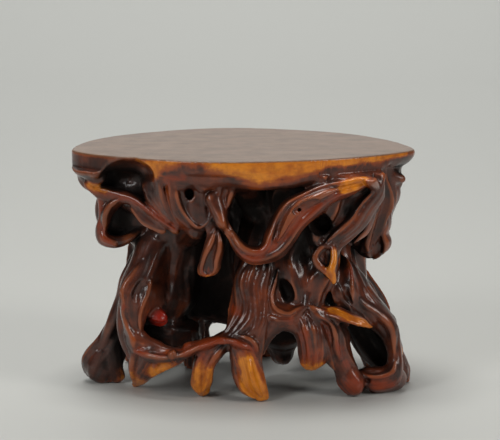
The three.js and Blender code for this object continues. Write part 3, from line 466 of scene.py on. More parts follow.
        Root([(66.3, -29, 14), (65, -30, 8.5), (60.5, -30.5, 6), (55.5, -31, 6.2), (50, -32, 6.3),
              (44.5, -31.7, 6.2)], BRANCH, (0.5, 0.75, 0.95, 0.85, 0.62, 0.62)),
        crest([(68, -29, 13), (67, -31, 6), (62, -33.5, 3.5), (57, -34, 3), (53.5, -34, 5)],
              (1.1, 1.3, 1.3, 1.2, 0.9), blend=0.6),
        crest([(67, -32, 17), (65.5, -34, 11), (60, -35.5, 8), (55, -35.5, 8), (51.5, -35.5, 10)],
              (0.9, 1, 1, 1, 0.8)),
        hollow([(55.5, -38, 5.8), (55.3, -35, 5.8)], RIDGE, (1.1, 0.8), blend=0.4),
        Root([(66.5, -27, 19), (69.2, -26.5, 17.8)], STRAND, (0.6, 0.45), blend=1),
        Root([(63, -24, 30), (67, -18, 20), (70, -13, 10), (71, -12, 1)], STRAND, (0.8, 0.8, 0.85, 0.75)),
    ],
    "left_front_leg": [
        Root([(-37, -20, 68), (-41, -27, 57), (-46.5, -32, 47), (-49, -34.5, 37), (-48.7, -36, 27),
              (-46.5, -36, 20)], LEG, (0.95, 1, 0.85, 0.66, 0.5, 0.45), flat=0.9, blend=2.5),
        # outer and inner strands round a leaf-shaped recess
        Root([(-40, -30, 61), (-46, -34, 55), (-50, -36, 48), (-51.2, -37, 41), (-51.5, -37.5, 35),
              (-50, -38, 29), (-47.8, -38.5, 23)], STRAND, (0.6, 0.6, 0.55, 0.55, 0.55, 0.5, 0.4), blend=0.7),
        crest([(-51.6, -38.5, 47), (-51, -39, 42), (-52.3, -39, 37), (-51.3, -39.5, 31.6), (-48.6, -40, 25.2),
               (-47.3, -40, 19.6)], (0.6, 0.8, 0.8, 0.8, 0.8, 0.6), blend=0.4),
        crest([(-40.5, -32, 56), (-44.2, -35, 52), (-46.3, -37, 46.5), (-47.2, -38, 41)],
              (0.6, 0.8, 0.8, 0.6), blend=0.4),
        crest([(-39.5, -31, 55), (-40.3, -35, 50), (-41, -36, 45), (-42.7, -37, 40), (-45, -38.5, 34),
               (-46, -39, 27)], (1, 1.1, 1.1, 1.1, 1, 0.8)),
        hollow([(-42, -38, 55), (-43.5, -39.5, 50), (-44.8, -40, 45), (-45.5, -40.5, 39)],
               STRAND, (0.3, 0.9, 0.9, 0.3), flat=1.5, blend=0.4),
        hollow([(-51.6, -41, 38.6), (-51.8, -41, 35.6)], RIDGE, (0.7, 0.6), blend=0.4),
        Root([(-44, -16, 62), (-50, -23, 48), (-53, -28, 36), (-51, -31, 25), (-47, -32, 16)],
             STRAND, (0.9, 1, 1, 0.9, 0.8)),
        Root([(-43, -20, 26), (-33, -19, 23), (-25, -17, 23)],
             TRUNK, (0.6, 0.78, 0.62), flutes=7, depth=0.05, blend=3),
        # smooth wall on the inner side
        Root([(-38, -21, 62), (-40, -23, 50), (-40, -23, 40), (-41, -22, 30)],
             LEG, (1, 1, 0.9, 0.6), blend=4),
        # web down to the stretcher
        Root([(-47, -37, 25), (-42, -37.5, 22.5), (-36, -39, 21), (-29, -41.5, 21)],
             LEG, (0.45, 0.45, 0.4, 0.3), blend=2),
        crest([(-47, -38.5, 26), (-43.5, -38.5, 24.6), (-38, -39, 23), (-32, -40.5, 21.5)],
              (0.7, 0.8, 0.8, 0.6)),
        # wedge-shaped toe, a fan of flat roots that meet in a point
        Root([(-28, -42.5, 18.5), (-34, -38, 13.5), (-41.5, -30, 7.5), (-49, -19, 0.5)],
             STRAND, (0.5, 0.55, 0.5, 0.22), blend=0.6),
        Root([(-33, -40.5, 18), (-38, -35.5, 12), (-44, -27.5, 6.5), (-49, -19, 1)],
             TOE, (0.7, 0.75, 0.6, 0.25), flat=0.5, blend=1),
        Root([(-41, -39.5, 19), (-43, -35, 12.5), (-46.5, -27, 6), (-49, -19, 1)],
             TOE, (0.8, 0.8, 0.6, 0.25), flat=0.5, blend=1),
        Root([(-46.8, -38, 20.5), (-47.6, -34.5, 14), (-48.3, -27.5, 6.5), (-49.2, -19, 0.8)],
             STRAND, (0.5, 0.5, 0.45, 0.22), blend=0.6),
        crest([(-37.5, -41.5, 17), (-38, -38.5, 13), (-37.3, -36, 10)], (0.5, 0.8, 0.5), blend=0.4),
        # knob on the inner side
        Root([(-43, -27, 33.5), (-37, -29.5, 33)], LEG, (0.5, 0.46), flutes=5, depth=0.12, blend=1.5),
    ],
    "left_ear_root": [
        # arm with a round tip
        Root([(-66, -30, 93), (-62, -31, 90), (-57, -32, 88), (-51, -34, 87), (-45, -36, 85),
              (-37, -39, 80.5), (-29, -42, 75)], RIBBON, (0.7, 0.75, 0.7, 0.65, 0.6, 0.55, 0.45), blend=1),
        crest([(-65, -33, 92.5), (-58.6, -34, 90.2), (-51.5, -36, 87.8), (-45.5, -38, 86), (-36.8, -42, 80.8),
               (-28.7, -44.5, 75.6)], (0.8, 0.9, 0.9, 0.9, 0.9, 0.6), blend=0.6),
        # back wall of the cup
        Root([(-59, -24, 86), (-58, -22, 78), (-54, -21, 73), (-47, -19, 76)],
             TRUNK, (0.45, 0.6, 0.65, 0.6), flat=0.6, blend=2),
        Root([(-50, -24, 84), (-47, -22, 76), (-45, -20, 70)], LEG, (0.8, 0.9, 0.8), flat=0.7, blend=2),
        # lip of the hanging lobe
        Root([(-62, -31, 90), (-61, -30, 84), (-60.8, -29, 78), (-62, -28, 72), (-60.5, -28, 68.5),
              (-56, -28, 67.2), (-50, -27, 68.5), (-45, -24, 71)],
             STRAND, (0.7, 0.7, 0.75, 0.85, 0.9, 0.85, 0.75, 0.5), blend=1),
        Root([(-62.5, -29, 73), (-61, -31, 69), (-56, -31, 66.5)], STRAND, (0.4, 0.6, 0.4), blend=1),
        crest([(-51.5, -37, 87), (-57, -35, 84.5), (-59.5, -34, 80.5), (-60.5, -33, 75.5), (-61, -32, 70.5)],
              (0.6, 0.9, 0.9, 0.9, 0.7), blend=0.6),
        # web between the arm and the shoulder
        Root([(-50, -28, 84), (-43, -30, 80), (-37, -30, 76)], BRANCH, (0.7, 0.9, 0.8), flat=0.7),
        Root([(-46, -36, 82), (-42, -37, 78), (-36, -39, 75)], BRANCH, (0.5, 0.7, 0.5), flat=0.5, blend=1),
        Root([(-36, -38, 78), (-31, -39.7, 78.6), (-27, -41.3, 80)], STRAND, (0.7, 0.75, 0.7), blend=1),
        # thin parallel ridges over the arm
        *crests((0.7, 0.9, 0.9, 0.6), [
            [(-41, -41, 93), (-39.5, -42, 88.5), (-35.6, -43, 84), (-31, -44, 79)],
            [(-37.5, -43, 93), (-36, -44, 89), (-33, -45, 85), (-29.5, -45, 79)],
        ], blend=0.6),
    ],
    "swag_root": [
        Root([(-9, -47, 92), (-8, -50, 82), (-5.6, -51, 73), (-2, -52.5, 68), (2, -53, 65), (7.4, -53, 65.4),
              (11.8, -53, 69), (14.8, -53, 74), (17.8, -53, 78.5), (21.5, -53, 83), (26.5, -52.5, 87),
              (32.5, -52, 89.6), (39.5, -50.5, 92.2), (46.5, -48, 95), (54.5, -45.5, 96.8)],
             RIBBON, (0.5, 0.5, 0.5, 0.5, 0.45, 0.5, 0.65, 0.85, 1, 1.1, 1, 0.75, 0.5, 0.36, 0.25), flat=0.5,
             blend=0.8),
        # raised edges of the swag
        crest([(-5.6, -52, 75), (-2.9, -54, 69.9), (1.3, -54.5, 67.2), (6.6, -54.5, 67), (9.8, -54.5, 70),
               (11.2, -54.5, 75), (13, -54, 79.5), (16.8, -54, 84.2), (21.4, -54, 88.6), (26.4, -53.5, 91.3),
               (31.5, -53, 93), (39.5, -51, 94.8), (47.5, -48, 96.6), (55.1, -45, 98.1)],
              (0.7, 0.8, 0.9, 0.9, 0.9, 0.9, 0.9, 0.9, 0.9, 0.9, 0.9, 0.9, 0.9, 0.8), blend=0.6),
        crest([(-6.5, -51, 70.5), (-1.3, -53.5, 66), (2.9, -54, 64), (8.2, -54, 64.6), (14.4, -54, 67.5),
               (19, -54, 73), (24, -54, 78.5), (28.3, -54, 82.6), (32.5, -53.5, 86), (38.4, -52, 89.4),
               (45.3, -50, 92), (53, -46, 95)],
              (0.7, 0.8, 0.9, 0.9, 1, 1, 1, 1, 1, 0.9, 0.9, 0.8), blend=0.6),
        Root([(53.6, -48, 97), (56, -41, 93.2)], STRAND, (0.76, 0.72), blend=1),
        # edge along the middle that parts its two facets
        crest([(13, -56, 71), (15.5, -57, 76.5), (19.5, -57.2, 82), (25.5, -57, 88), (33, -56, 90.8),
               (42, -53, 93.4)], (0.5, 0.9, 1, 1, 0.9, 0.6), blend=0.6, back=3),
        # groove along the swag, and the dish at its shoulder
        hollow([(9, -56.5, 67), (15.5, -57, 71.5), (20, -57, 77.5), (25, -57, 82)],
               RIDGE, (0.4, 1.1, 1.3, 0.5), flat=1.2, blend=0.6),
        hollow([(22.5, -57.5, 84.5), (26.5, -57.5, 87.2), (31, -56.5, 89.3)],
               STRAND, (0.4, 0.72, 0.3), blend=0.5),
        hollow([(24.5, -58, 85.5), (24.3, -50, 85.2)], RIDGE, (0.7, 0.7), blend=0.4),
        # hanging drip beside the swag
        Root([(-14, -46, 80), (-13.5, -47, 73), (-14.6, -48, 65), (-15.6, -47, 57.8)],
             RIBBON, (0.6, 0.55, 0.65, 0.7), flat=0.75, blend=1),
        *crests((0.6, 0.7, 0.75, 0.8, 0.7), [
            [(-12, -49, 76), (-15, -50, 68), (-17.5, -50, 62.2), (-18.6, -49, 57.5), (-16, -49, 55)],
            [(-11, -49, 75), (-10.8, -50, 69), (-11.8, -50, 62.2), (-12.8, -49, 57), (-15.5, -49, 55)],
        ], blend=0.6),
        hollow([(-15.2, -53, 66), (-16.1, -52.5, 62.7), (-16, -52, 59.3)],
               RIDGE, (0.4, 0.8, 0.5), flat=1.6, blend=0.4),
    ],
    "right_drape_root": [
        Root([(62, -20, 98), (61, -20, 90), (59.5, -19, 80), (58, -17.5, 71), (57.5, -17, 64)],
             TRUNK, (0.5, 0.58, 0.66, 0.72, 0.58), flat=0.6, flutes=6, depth=0.08, face=(0.3, -1, 0)),
        Root([(52, -10, 97), (52, -10, 86), (48, -10, 74)], TRUNK, (0.8, 0.75, 0.7)),
        Root([(54, -21, 76), (52.5, -20, 69), (55, -19, 63)], LEG, (0.8, 0.8, 0.5), flat=0.6, blend=2),
        # fluted sheet between the curtain and the drape
        Root([(56, -28, 96), (57, -26, 86), (56, -22, 76), (54, -19, 67)],
             TRUNK, (0.7, 0.75, 0.75, 0.5), flat=0.7, flutes=9, face=(0.3, -1, 0), blend=2),
        crest([(66, -23, 94), (64, -24, 86), (61.5, -24, 79), (62.5, -23, 73), (61.5, -22.5, 69),
               (62.8, -22, 64.5), (61.5, -21, 60)], (1.1, 1.1, 1.1, 1.2, 1.1, 1.2, 0.9), blend=0.7),
        crest([(59.5, -29, 95), (58.2, -28.5, 89.5), (57.3, -27, 81.5), (55.5, -25, 73), (54.6, -23, 64.5),
               (55.5, -22, 61)], (1, 1.1, 1.1, 1.1, 1, 0.8), blend=0.7),
        # knob under the rim
        Root([(56, -24, 96), (64, -24, 95), (69, -23, 94)], STRAND, (1, 0.85, 0.6)),
        Root([(67, -18, 93), (63, -12, 85), (61, -10, 77), (61, -10, 68)], STRAND, (0.8, 0.8, 0.9, 0.8)),
    ],
    "hook_root": [
        # curtain of strands that gather into the hook
        Root([(58, -37, 97), (54.5, -39, 88), (50, -40.5, 80), (43.5, -42, 71.5), (36, -42, 64.5)],
             TRUNK, (0.35, 0.36, 0.36, 0.32, 0.22), flat=0.6, blend=1),
        *crests((0.8, 0.85, 0.85, 0.85, 0.8, 0.6), [
            [(60, -39, 96), (57.5, -40.5, 89.8), (53, -43, 83.2), (48.5, -44.5, 77.4), (43, -45.5, 72.6),
             (36, -45.5, 68)],
            [(61, -38, 94), (59, -39, 88.5), (54.6, -41.5, 82), (50, -43, 76.2), (44.5, -44.5, 71.3),
             (37.5, -45, 66.8)],
            [(57.5, -40, 96), (55.8, -42, 91), (51.2, -43.5, 84.5), (46.8, -45, 78.7), (41.3, -45.8, 73.9),
             (34.5, -45.3, 69)],
        ], back=4),
        crest([(61, -34, 92), (57.7, -35, 86), (54.5, -36.5, 79), (51.3, -37.5, 73), (47, -39, 67.4)],
              (0.8, 0.85, 0.85, 0.85, 0.6), back=4),
        # wall between the swag and the curtain, with a dish and a leaf cut into it
        Root([(48, -34, 96), (44, -36.5, 86), (38.5, -37.5, 76), (35, -38, 67)],
             TRUNK, (0.85, 0.85, 0.8, 0.6), flat=0.5, blend=2.5),
        hollow([(33.4, -45, 77), (33.8, -39, 76.5)], STRAND, (1.4, 1), face=UPRIGHT, blend=0.6),
        hollow([(48.5, -42.5, 88), (45, -43.5, 82), (40.5, -43.5, 76)],
               RIDGE, (0.4, 1.3, 0.4), flat=1.6, blend=0.4),
        # ring with the amber hook
        Root([(37, -44, 68.5), (38, -45.5, 66), (37.7, -47, 61.6), (36.8, -48, 58), (38, -48, 54.5),
              (38.9, -48, 52)], STRAND, (0.45, 0.5, 0.5, 0.5, 0.4, 0.3), blend=0.7),
        Root([(36.5, -44, 67.8), (32.5, -45, 67), (29.8, -45.5, 63.5), (31, -46, 60), (35, -47, 56.5),
              (37.8, -48, 53.8)], STRAND, (0.45, 0.5, 0.5, 0.5, 0.45, 0.35), blend=0.7),
        Root([(34, -43, 66), (33.5, -43.5, 59)], LEG, (0.5, 0.4), flat=0.4, blend=1),
        hollow([(34.2, -50, 64), (33.8, -48.5, 60)], STRAND, (0.45, 0.4), flat=1.4, blend=0.4),
    ],
    "centre_leg": [
        # trunk that flares towards the floor
        Root([(12, -22, 80), (5, -31, 62), (4, -35, 48), (3, -39, 36), (-1, -42, 27)],
             TRUNK, (0.9, 0.8, 0.72, 0.78, 0.62), flat=0.75, flutes=8, depth=0.08),
        # strands down the trunk, from the left to the right
        Root([(1, -37, 60), (-1.5, -39, 52), (-1.6, -41, 45), (-1.6, -42.5, 39), (-4.5, -44, 32),
              (-9, -45, 28)], STRAND, (0.7, 0.6, 0.55, 0.55, 0.55, 0.4), blend=0.5),
        crest([(3, -39, 60), (0.5, -42, 51), (1.8, -43.5, 43), (0.6, -45, 36.5), (-3.5, -46.5, 30.5),
               (-8, -47, 28)], (1.2, 1.3, 1.3, 1.3, 1.2, 0.8), blend=0.4),
        *crests((1.2, 1.4, 1.4, 1.4, 1.3, 0.9), [
            [(5, -40, 62), (3.6, -43, 51), (4.7, -44.5, 43.5), (3.2, -46, 36.5), (-0.7, -47.5, 31),
             (-5, -48, 28.5)],
            [(8, -40, 62), (6.5, -43, 51), (7.2, -45, 44), (6, -46.5, 36.5), (3.5, -48, 30.5),
             (-0.5, -48.5, 28)],
        ], blend=0.4),
        crest([(11, -39.5, 62), (9.5, -43, 51), (9.8, -44.5, 44), (8.3, -46.5, 37), (5.8, -48, 31),
               (5, -48, 25)], (1.2, 1.4, 1.4, 1.4, 1.2, 0.8), blend=0.4),
        Root([(14, -37, 62), (12.6, -41, 51.4), (12.1, -43, 45.8), (10.3, -45, 38.5), (7.8, -46.5, 31.5),
              (6.9, -47.5, 25), (6.2, -47.5, 18), (7.4, -47, 11), (9, -46.5, 6), (11, -46, 1.5)],
             STRAND, (0.7, 0.6, 0.55, 0.55, 0.55, 0.5, 0.4, 0.35, 0.35, 0.25), blend=0.5),
        # left toe, with a groove between two ridges
        Root([(-5, -42, 27), (-13, -42, 23), (-17, -41.5, 15), (-17.3, -40, 7), (-17, -39, 3.8)],
             LEG, (0.6, 0.6, 0.6, 0.62, 0.42), flat=0.8, blend=1),
        crest([(-14, -44, 25), (-19, -44, 19), (-20, -44, 12), (-19.5, -43, 6), (-18, -42, 2)],
              (0.9, 1.1, 1.2, 1.1, 0.8), blend=0.8, back=3),
        crest([(-9, -46, 25), (-12.5, -46, 20), (-14.8, -45.8, 14), (-15.8, -44.8, 8), (-17.5, -43, 3)],
              (0.9, 1.2, 1.2, 1.1, 0.8), blend=0.8, back=3),
        hollow([(-15.5, -48, 17), (-17, -47, 11), (-18.2, -46, 6)], RIDGE, (0.4, 0.8, 0.3), blend=0.5),
        # right toe, with a sharp right edge
        Root([(-2, -44, 27), (0.5, -46, 20), (3.5, -46.5, 12), (8.5, -46, 3.2)],
             LEG, (0.8, 0.8, 0.66, 0.4), flat=0.75, blend=1),
        crest([(-6, -46, 25), (-4.4, -47, 18), (-2.5, -48, 11), (1, -48, 5.5), (6, -48, 2)],
              (0.9, 1.1, 1.1, 1, 0.8), blend=0.8, back=3),
        crest([(1, -50, 22), (2.5, -51, 15), (5, -50.5, 9), (9, -49, 3)], (0.8, 1.1, 1.1, 0.7)),
        hollow([(3.2, -53, 7.5), (3.4, -51.5, 4.5)], RIDGE, (0.35, 0.35), flat=3, blend=0.3),
    ],
    "stretcher_root": [
        Root([(-31.2, -45, 20.9), (-31.3, -38.5, 17.5)], STRAND, (0.72, 0.78), blend=1),
        Root([(-24, -42.8, 23.2), (-15, -43.2, 23.4)], STRAND, (0.76, 0.74), blend=1),
        Root([(-46, -39, 21), (-37, -41.5, 19.5), (-29, -43.5, 21), (-20, -45, 24.5), (-11, -46.5, 27),
              (-3, -48, 27), (3, -49, 25), (5.5, -48.5, 21)],
             RIBBON, (0.45, 0.5, 0.6, 0.65, 0.65, 0.65, 0.6, 0.4), flat=0.5, face=(0, -0.7, 1), blend=0.8),
        crest([(-47, -40.5, 20.6), (-41.4, -43, 19.4), (-37.1, -44.2, 18.9), (-30, -45.5, 20.3),
               (-20.8, -47.3, 23.5), (-10.5, -49, 26.9)], (0.7, 0.8, 0.8, 0.8, 0.8, 0.6), blend=0.4),
        crest([(-7.8, -49.5, 27.6), (-4, -50.5, 26.6), (-0.3, -51.2, 25), (3, -51.2, 24)],
              (0.6, 0.8, 0.8, 0.5), blend=0.4),
        crest([(-4, -48.5, 29), (0.8, -50, 28.5), (4, -50.5, 27), (5.6, -50, 23.5), (5.6, -49.5, 20.5)],
              (0.7, 0.9, 0.9, 0.9, 0.6), blend=0.4),
    ],
}

# Hollows under the rim, cut once the board is joined
RIM_HOLLOWS = [
    hollow([(-51.5, -60, 98.2), (-51, -44, 98.2), (-50.5, -35, 95.5)],
           TRUNK, (1.25, 1.2, 0.62), flat=0.58, face=UPRIGHT, blend=1.5),
]

# Strokes where the wood shows through: lists of (x, y, z, radius)
AMBER = [
    [(-44, -44, 103.5, 3), (-37, -48, 101.5, 4), (-31, -50, 103.5, 3.2), (-24, -52, 105, 2.4),
     (-15, -54.5, 104.6, 2.8), (-8, -55.5, 104, 3.2), (-2, -56.5, 102.5, 4.4), (5, -57, 101.5, 5.2),
     (14, -56, 101.8, 5.2), (21, -54.5, 102.6, 4.6), (28, -52.5, 103.6, 3.4), (36, -48.5, 104.4, 2.6),
     (46, -43.5, 104.8, 2.2), (58, -36, 105.2, 2), (70, -25, 105.4, 1.8)],
    [(-18, -42, 1, 8), (-18, -44, 10, 6.5)],
    [(10, -46, 1, 6.5), (5, -49, 9, 7), (1, -49, 17, 4.5)],
    [(-49, -20, 0, 8), (-47, -27, 6, 7)],
    [(-38, -36, 12, 5), (-31, -41, 17, 4)],
    [(38, -46, 40.5, 2), (46, -49, 38, 2.6), (55, -47, 34, 3)],
    [(25, -46, 13, 4), (34, -46, 13, 4)],
    [(38.5, -48, 65, 2.6), (37.5, -48, 60, 3.4), (39, -48, 52, 4)],
    [(-17, -50, 54.5, 2.2), (-13, -50, 54.5, 2)],
    [(43, -50, 94, 2.8), (51, -48, 96.5, 2.6)],
    [(-66, -32, 92.5, 2), (-60, -33, 90.5, 1.6)],
    [(44, -36, 60, 3)],
    [(69.5, -26.5, 18, 2.2)],
]

# The red knob on the left leg
RED = [[(-36, -32, 33, 5.5)]]

# Crests and feet where the red ground of the lacquer shows
GLOW = [
    [(-60, -34, 90, 2.5), (-51, -37, 88, 3), (-45, -40, 85.5, 3.5), (-36.8, -43, 80.5, 3.5),
     (-29, -45, 76, 2.5)],
    [(-62, -31, 86, 2.5), (-62, -31, 75, 3), (-58, -30, 67, 3)],
    [(-3, -54, 67, 2.5), (5, -55, 64.5, 3), (13, -55, 69, 3.5), (18.5, -55, 76, 4), (24, -55, 82, 4),
     (33, -54, 88, 3.5), (44, -50, 92.5, 3)],
    [(-46, -40, 20, 3), (-37, -43, 19, 3), (-30, -44, 20.5, 3), (-20.8, -46, 23.7, 3),
     (-10.5, -48, 26.9, 3.5), (-3, -49, 26, 4), (4, -50, 24, 3)],
    [(47.6, -40, 5.7, 7)],
    [(55, -36, 6, 4.5), (64, -34, 6, 5), (68, -30, 13, 3.5)],
    [(26, -48, 30, 3.5), (28, -48, 18, 4.5), (33, -47, 22, 3)],
    [(34, -47, 34, 2.5), (39, -45, 26, 2.5), (45, -41, 15, 2.5)],
    [(-18, -46, 20, 4), (-18, -46, 12, 4)],
    [(1, -50, 20, 4), (5, -50, 12, 3)],
    [(-32, -50, 99, 4), (-26, -52, 99, 3)],
    [(2, -57, 97, 3), (12, -57, 97, 3.5), (24, -54, 99, 3)],
    [(-15.5, -50, 58, 3.5)],
    [(44, -36, 58, 5), (50, -34, 50, 3)],
    [(-51.5, -39, 40, 2)],
    [(-5, -41, 40, 2.5), (2, -45, 36, 2.5)],
    [(20, -47, 36, 2.5), (14, -46, 33, 2.5)],
]

# Painted shade: black strokes on the places that the light never reaches
SHADE_STROKES = [
    [(-27, -12, 62, 15), (-20, -10, 45, 16), (-10, -6, 35, 14)],
    [(-33, -16, 42, 11), (-30, -18, 30, 9)],
    [(-14, -30, 62, 8)],
    [(4, -42, 81, 8), (17, -42, 81, 7)],
    [(16, -20, 18, 14), (17, -4, 22, 13), (18, -2, 6, 11)],
    [(15.5, -42, 54, 3), (20, -41, 45, 4)],
    [(50, -12, 26, 9), (62, -12, 14, 9)],
    [(-58, -36, 98, 8), (-44, -38, 97, 7)],
    [(30, -44, 76, 5), (24, -42, 64, 4)],
    [(-52, -22, 78, 7), (-48, -20, 71, 6)],
    [(48, -40, 60, 3)],
    [(-68, -8, 4, 10), (-60, -12, 10, 10), (-56, -14, 24, 7)],
    [(-75, -10, 100, 6), (-71, -24, 99, 5)],
    [(75, -12, 99, 5), (66, -29, 98, 4)],
    [(34, -43, 77, 4.5)],
    [(45, -42, 83, 3)],
    [(-40, -28, 27, 5)],
    [(-28, -16, 22, 8)],
    [(-42, -25, 58, 7), (-46, -28, 46, 7)],
]


class Field:
    """The carved body on a grid of cells: a signed distance, negative in the wood, and the nearest stem."""

    # Air round the stand, the distance far from any root, and how far a root acts on the grid, in millimetres
    AIR = 1.5
    FAR = 9.0
    MARGIN = 5.0
    # Cells are first sorted out in blocks this wide, by every so many samples of a route, with some slack.
    COARSE = 4
    STRIDE = 4
    SLACK = 2
    LOW = np.array([-LENGTH / 2 - AIR, -DEPTH / 2 - AIR, -AIR])
    HIGH = np.array([LENGTH / 2 + AIR, DEPTH / 2 + AIR, TOP + AIR])

    def __init__(self, cell):
        self.cell = cell
        self.shape = np.ceil((self.HIGH - self.LOW) / cell).astype(int) + 1
        self.value = np.full(self.shape, self.FAR, np.float32)
        self.nearest = np.full(self.shape, self.FAR, np.float32)
        self.label = np.zeros(self.shape, np.int8)

    def axes(self):
        """Places of the cells along x, y and z."""
        return [self.LOW[k] + self.cell * np.arange(self.shape[k]) for k in range(3)]

    def near(self, root):
        """Flat indices of the cells near a root, and their places."""
        swollen = root.radius * Root.SWOLLEN
        reach = swollen.max() + self.MARGIN
        low = np.floor((root.centre.min(0) - reach - self.LOW) / self.cell).astype(int)
        high = np.ceil((root.centre.max(0) + reach - self.LOW) / self.cell).astype(int)
        low, high = np.clip(low, 0, self.shape - 1), np.clip(high, 1, self.shape)
        size = high - low
        steps = [np.arange(0, size[k], self.COARSE) for k in range(3)]
        coarse = np.stack(np.meshgrid(*steps, indexing="ij"), -1).reshape(-1, 3)
        middle = self.LOW + self.cell * (low + coarse + 0.5 * self.COARSE)
        gap = np.full(len(middle), np.inf)
        for place, radius in zip(root.centre[:: self.STRIDE], swollen[:: self.STRIDE]):
            gap = np.minimum(gap, np.linalg.norm(middle - place, axis=1) - radius)
        keep = gap < self.MARGIN + self.cell * self.COARSE + self.SLACK
        keep = keep.reshape([len(step) for step in steps])
        for axis in range(3):
            keep = np.repeat(keep, self.COARSE, axis)
        keep = keep[: size[0], : size[1], : size[2]]
        index = np.stack(np.nonzero(keep), 1) + low
        flat = np.ravel_multi_index(index.T, self.shape)
        return flat, (self.LOW + self.cell * index).astype(np.float32)

    def join(self, root, label):
        """Joins a root to the body by a smooth union, so that roots run into each other."""
        flat, places = self.near(root)
        distance = root.distance(warped(places)).astype(np.float32)
        value, nearest = self.value.ravel(), self.nearest.ravel()
        value[flat] = smooth_least(value[flat], distance, root.blend)
        closer = distance < nearest[flat]
        nearest[flat[closer]] = distance[closer]
        self.label.ravel()[flat[closer]] = label

    def cut(self, root):
        """Cuts a root-shaped hollow into the body, with a rounded lip."""
        flat, places = self.near(root)
        distance = root.distance(warped(places)).astype(np.float32)
        value = self.value.ravel()
        value[flat] = -smooth_least(-value[flat], distance, root.blend)

    def limit(self, board_label):
        """Adds the board, and trims the body to the floor, the board's face and the outline under it.

        The rim's hollows are cut next, and the outermost cells of the grid are left as air.
        """
        x, y, z = self.axes()
        plan = outline_distance(x, y)[:, :, None].astype(np.float32)
        z = z[None, None, :].astype(np.float32)
        merged = smooth_least(self.value, slab_distance(plan, z), BOARD_BLEND)
        merged = np.maximum(merged, np.maximum(-z, z - TOP))
        merged = np.maximum(merged, plan - STEM_SPREAD * np.maximum(UNDERSIDE - z, 0))
        self.value = merged.astype(np.float32)
        self.label[:, :, z.ravel() > UNDERSIDE] = board_label
        for root in RIM_HOLLOWS:
            self.cut(root)
        for axis in range(3):
            edge = [slice(None)] * 3
            for end in (0, -1):
                edge[axis] = end
                self.value[tuple(edge)] = self.cell


def smooth_least(a, b, k):
    """The lesser of two distances less h squared k over 4, h = 1 - |a - b| / k, so that they meet rounded."""
    h = np.clip(1 - np.abs(a - b) / k, 0, 1)
    return np.minimum(a, b) - h * h * k * 0.25


def warped(places):
    """Places moved by about a millimetre along slow waves in x, y and z, so that no route looks drawn."""
    p = places * np.float32(1 / WARP_LENGTH)
    x, y, z = p[:, 0], p[:, 1], p[:, 2]
    shift = [
        np.sin(z * 1.3 + 1.7 * np.sin(y + 0.4)) + 0.5 * np.sin(2.3 * z + 1.9 * x + 0.6),
        np.sin(x * 1.1 + 1.5 * np.sin(z + 2.1)) + 0.5 * np.sin(2.1 * y + 1.7 * z + 1.1),
        0.6 * np.sin(x * 1.2 - y * 0.9 + 0.8) + 0.3 * np.sin(2.6 * x + 1.3 * z),
    ]
    return places + WARP * np.stack(shift, 1)


def board_outline(count):
    """Points of the board's outline: two half ovals that meet at the widest line, a little uneven.

    Across and away from the widest line, the reaches are the cosine and sine of the turn to the power of 2
    over the fullness, which draws the sides in. Two small waves round the outline make it uneven.
    """
    turn = np.linspace(0, 2 * math.pi, count, endpoint=False)
    uneven = 1 + 0.012 * np.sin(3 * turn + 0.8) + 0.008 * np.sin(7 * turn + 2)
    back = np.sin(turn) > 0
    reach = np.where(back, DEPTH / 2 - WIDEST_LINE, DEPTH / 2 + WIDEST_LINE)
    power = 2 / np.where(back, FULLNESS_BACK, FULLNESS_FRONT)
    across = np.sign(np.cos(turn)) * np.abs(np.cos(turn)) ** power
    x = uneven * across
    y = WIDEST_LINE + reach * uneven * np.sign(np.sin(turn)) * np.abs(np.sin(turn)) ** power
    x = (x - (x.min() + x.max()) / 2) / np.ptp(x) * LENGTH
    y = (y - (y.min() + y.max()) / 2) / np.ptp(y) * DEPTH
    return np.stack([x, y], 1)


def outline_distance(x, y):
    """Distance in plan from the board's outline, negative inside it."""
    points, chunk = 900, 4000
    outline = board_outline(points)
    places = np.stack(np.meshgrid(x, y, indexing="ij"), -1).reshape(-1, 2)
    distance = np.empty(len(places))
    for start in range(0, len(places), chunk):
        part = places[start : start + chunk]
        distance[start : start + len(part)] = np.sqrt(((part[:, None] - outline) ** 2).sum(-1).min(1))
    turn = np.arctan2(places[:, 1], places[:, 0])
    turns = np.arctan2(outline[:, 1], outline[:, 0])
    order = np.argsort(turns)
    reach = np.interp(turn, turns[order], np.linalg.norm(outline, axis=1)[order], period=2 * math.pi)
    inside = np.linalg.norm(places, axis=1) < reach
    return np.where(inside, -distance, distance).reshape(len(x), len(y))


def slab_distance(plan, z):
    """Distance from the board: a slab whose edge draws in below its arris, about as a quarter of an oval.

    The inset is 0 down to the arris, and below it grows as 1 - the square root of 1 - 0.98 t^1.6, t the
    share of the way from the arris to the underside. The upper edge is rounded.
    """
    share = np.clip((TOP - RIM_FALL - z) / (TOP - RIM_FALL - UNDERSIDE), 0, 1)
    inset = RIM_UNDERCUT * (1 - np.sqrt(1 - 0.98 * share**1.6))
    across, up = plan + inset + RIM_ROUND, np.maximum(z - TOP, UNDERSIDE - z) + RIM_ROUND
    outside = np.sqrt(np.maximum(across, 0) ** 2 + np.maximum(up, 0) ** 2)
    return outside + np.minimum(np.maximum(across, up), 0) - RIM_ROUND


def blurred(values, radius):
    """A field averaged over a box of a radius in cells, three times along each axis, so close to a bell."""
    width = 2 * radius + 1
    for _ in range(3):
        for axis in range(3):
            ends = [(radius + 1, radius) if k == axis else (0, 0) for k in range(3)]
            total = np.cumsum(np.pad(values, ends, "edge"), axis, dtype=np.float32)
            ahead = np.take(total, range(width, total.shape[axis]), axis)
            behind = np.take(total, range(0, total.shape[axis] - width), axis)
            values = (ahead - behind) / width
    return values


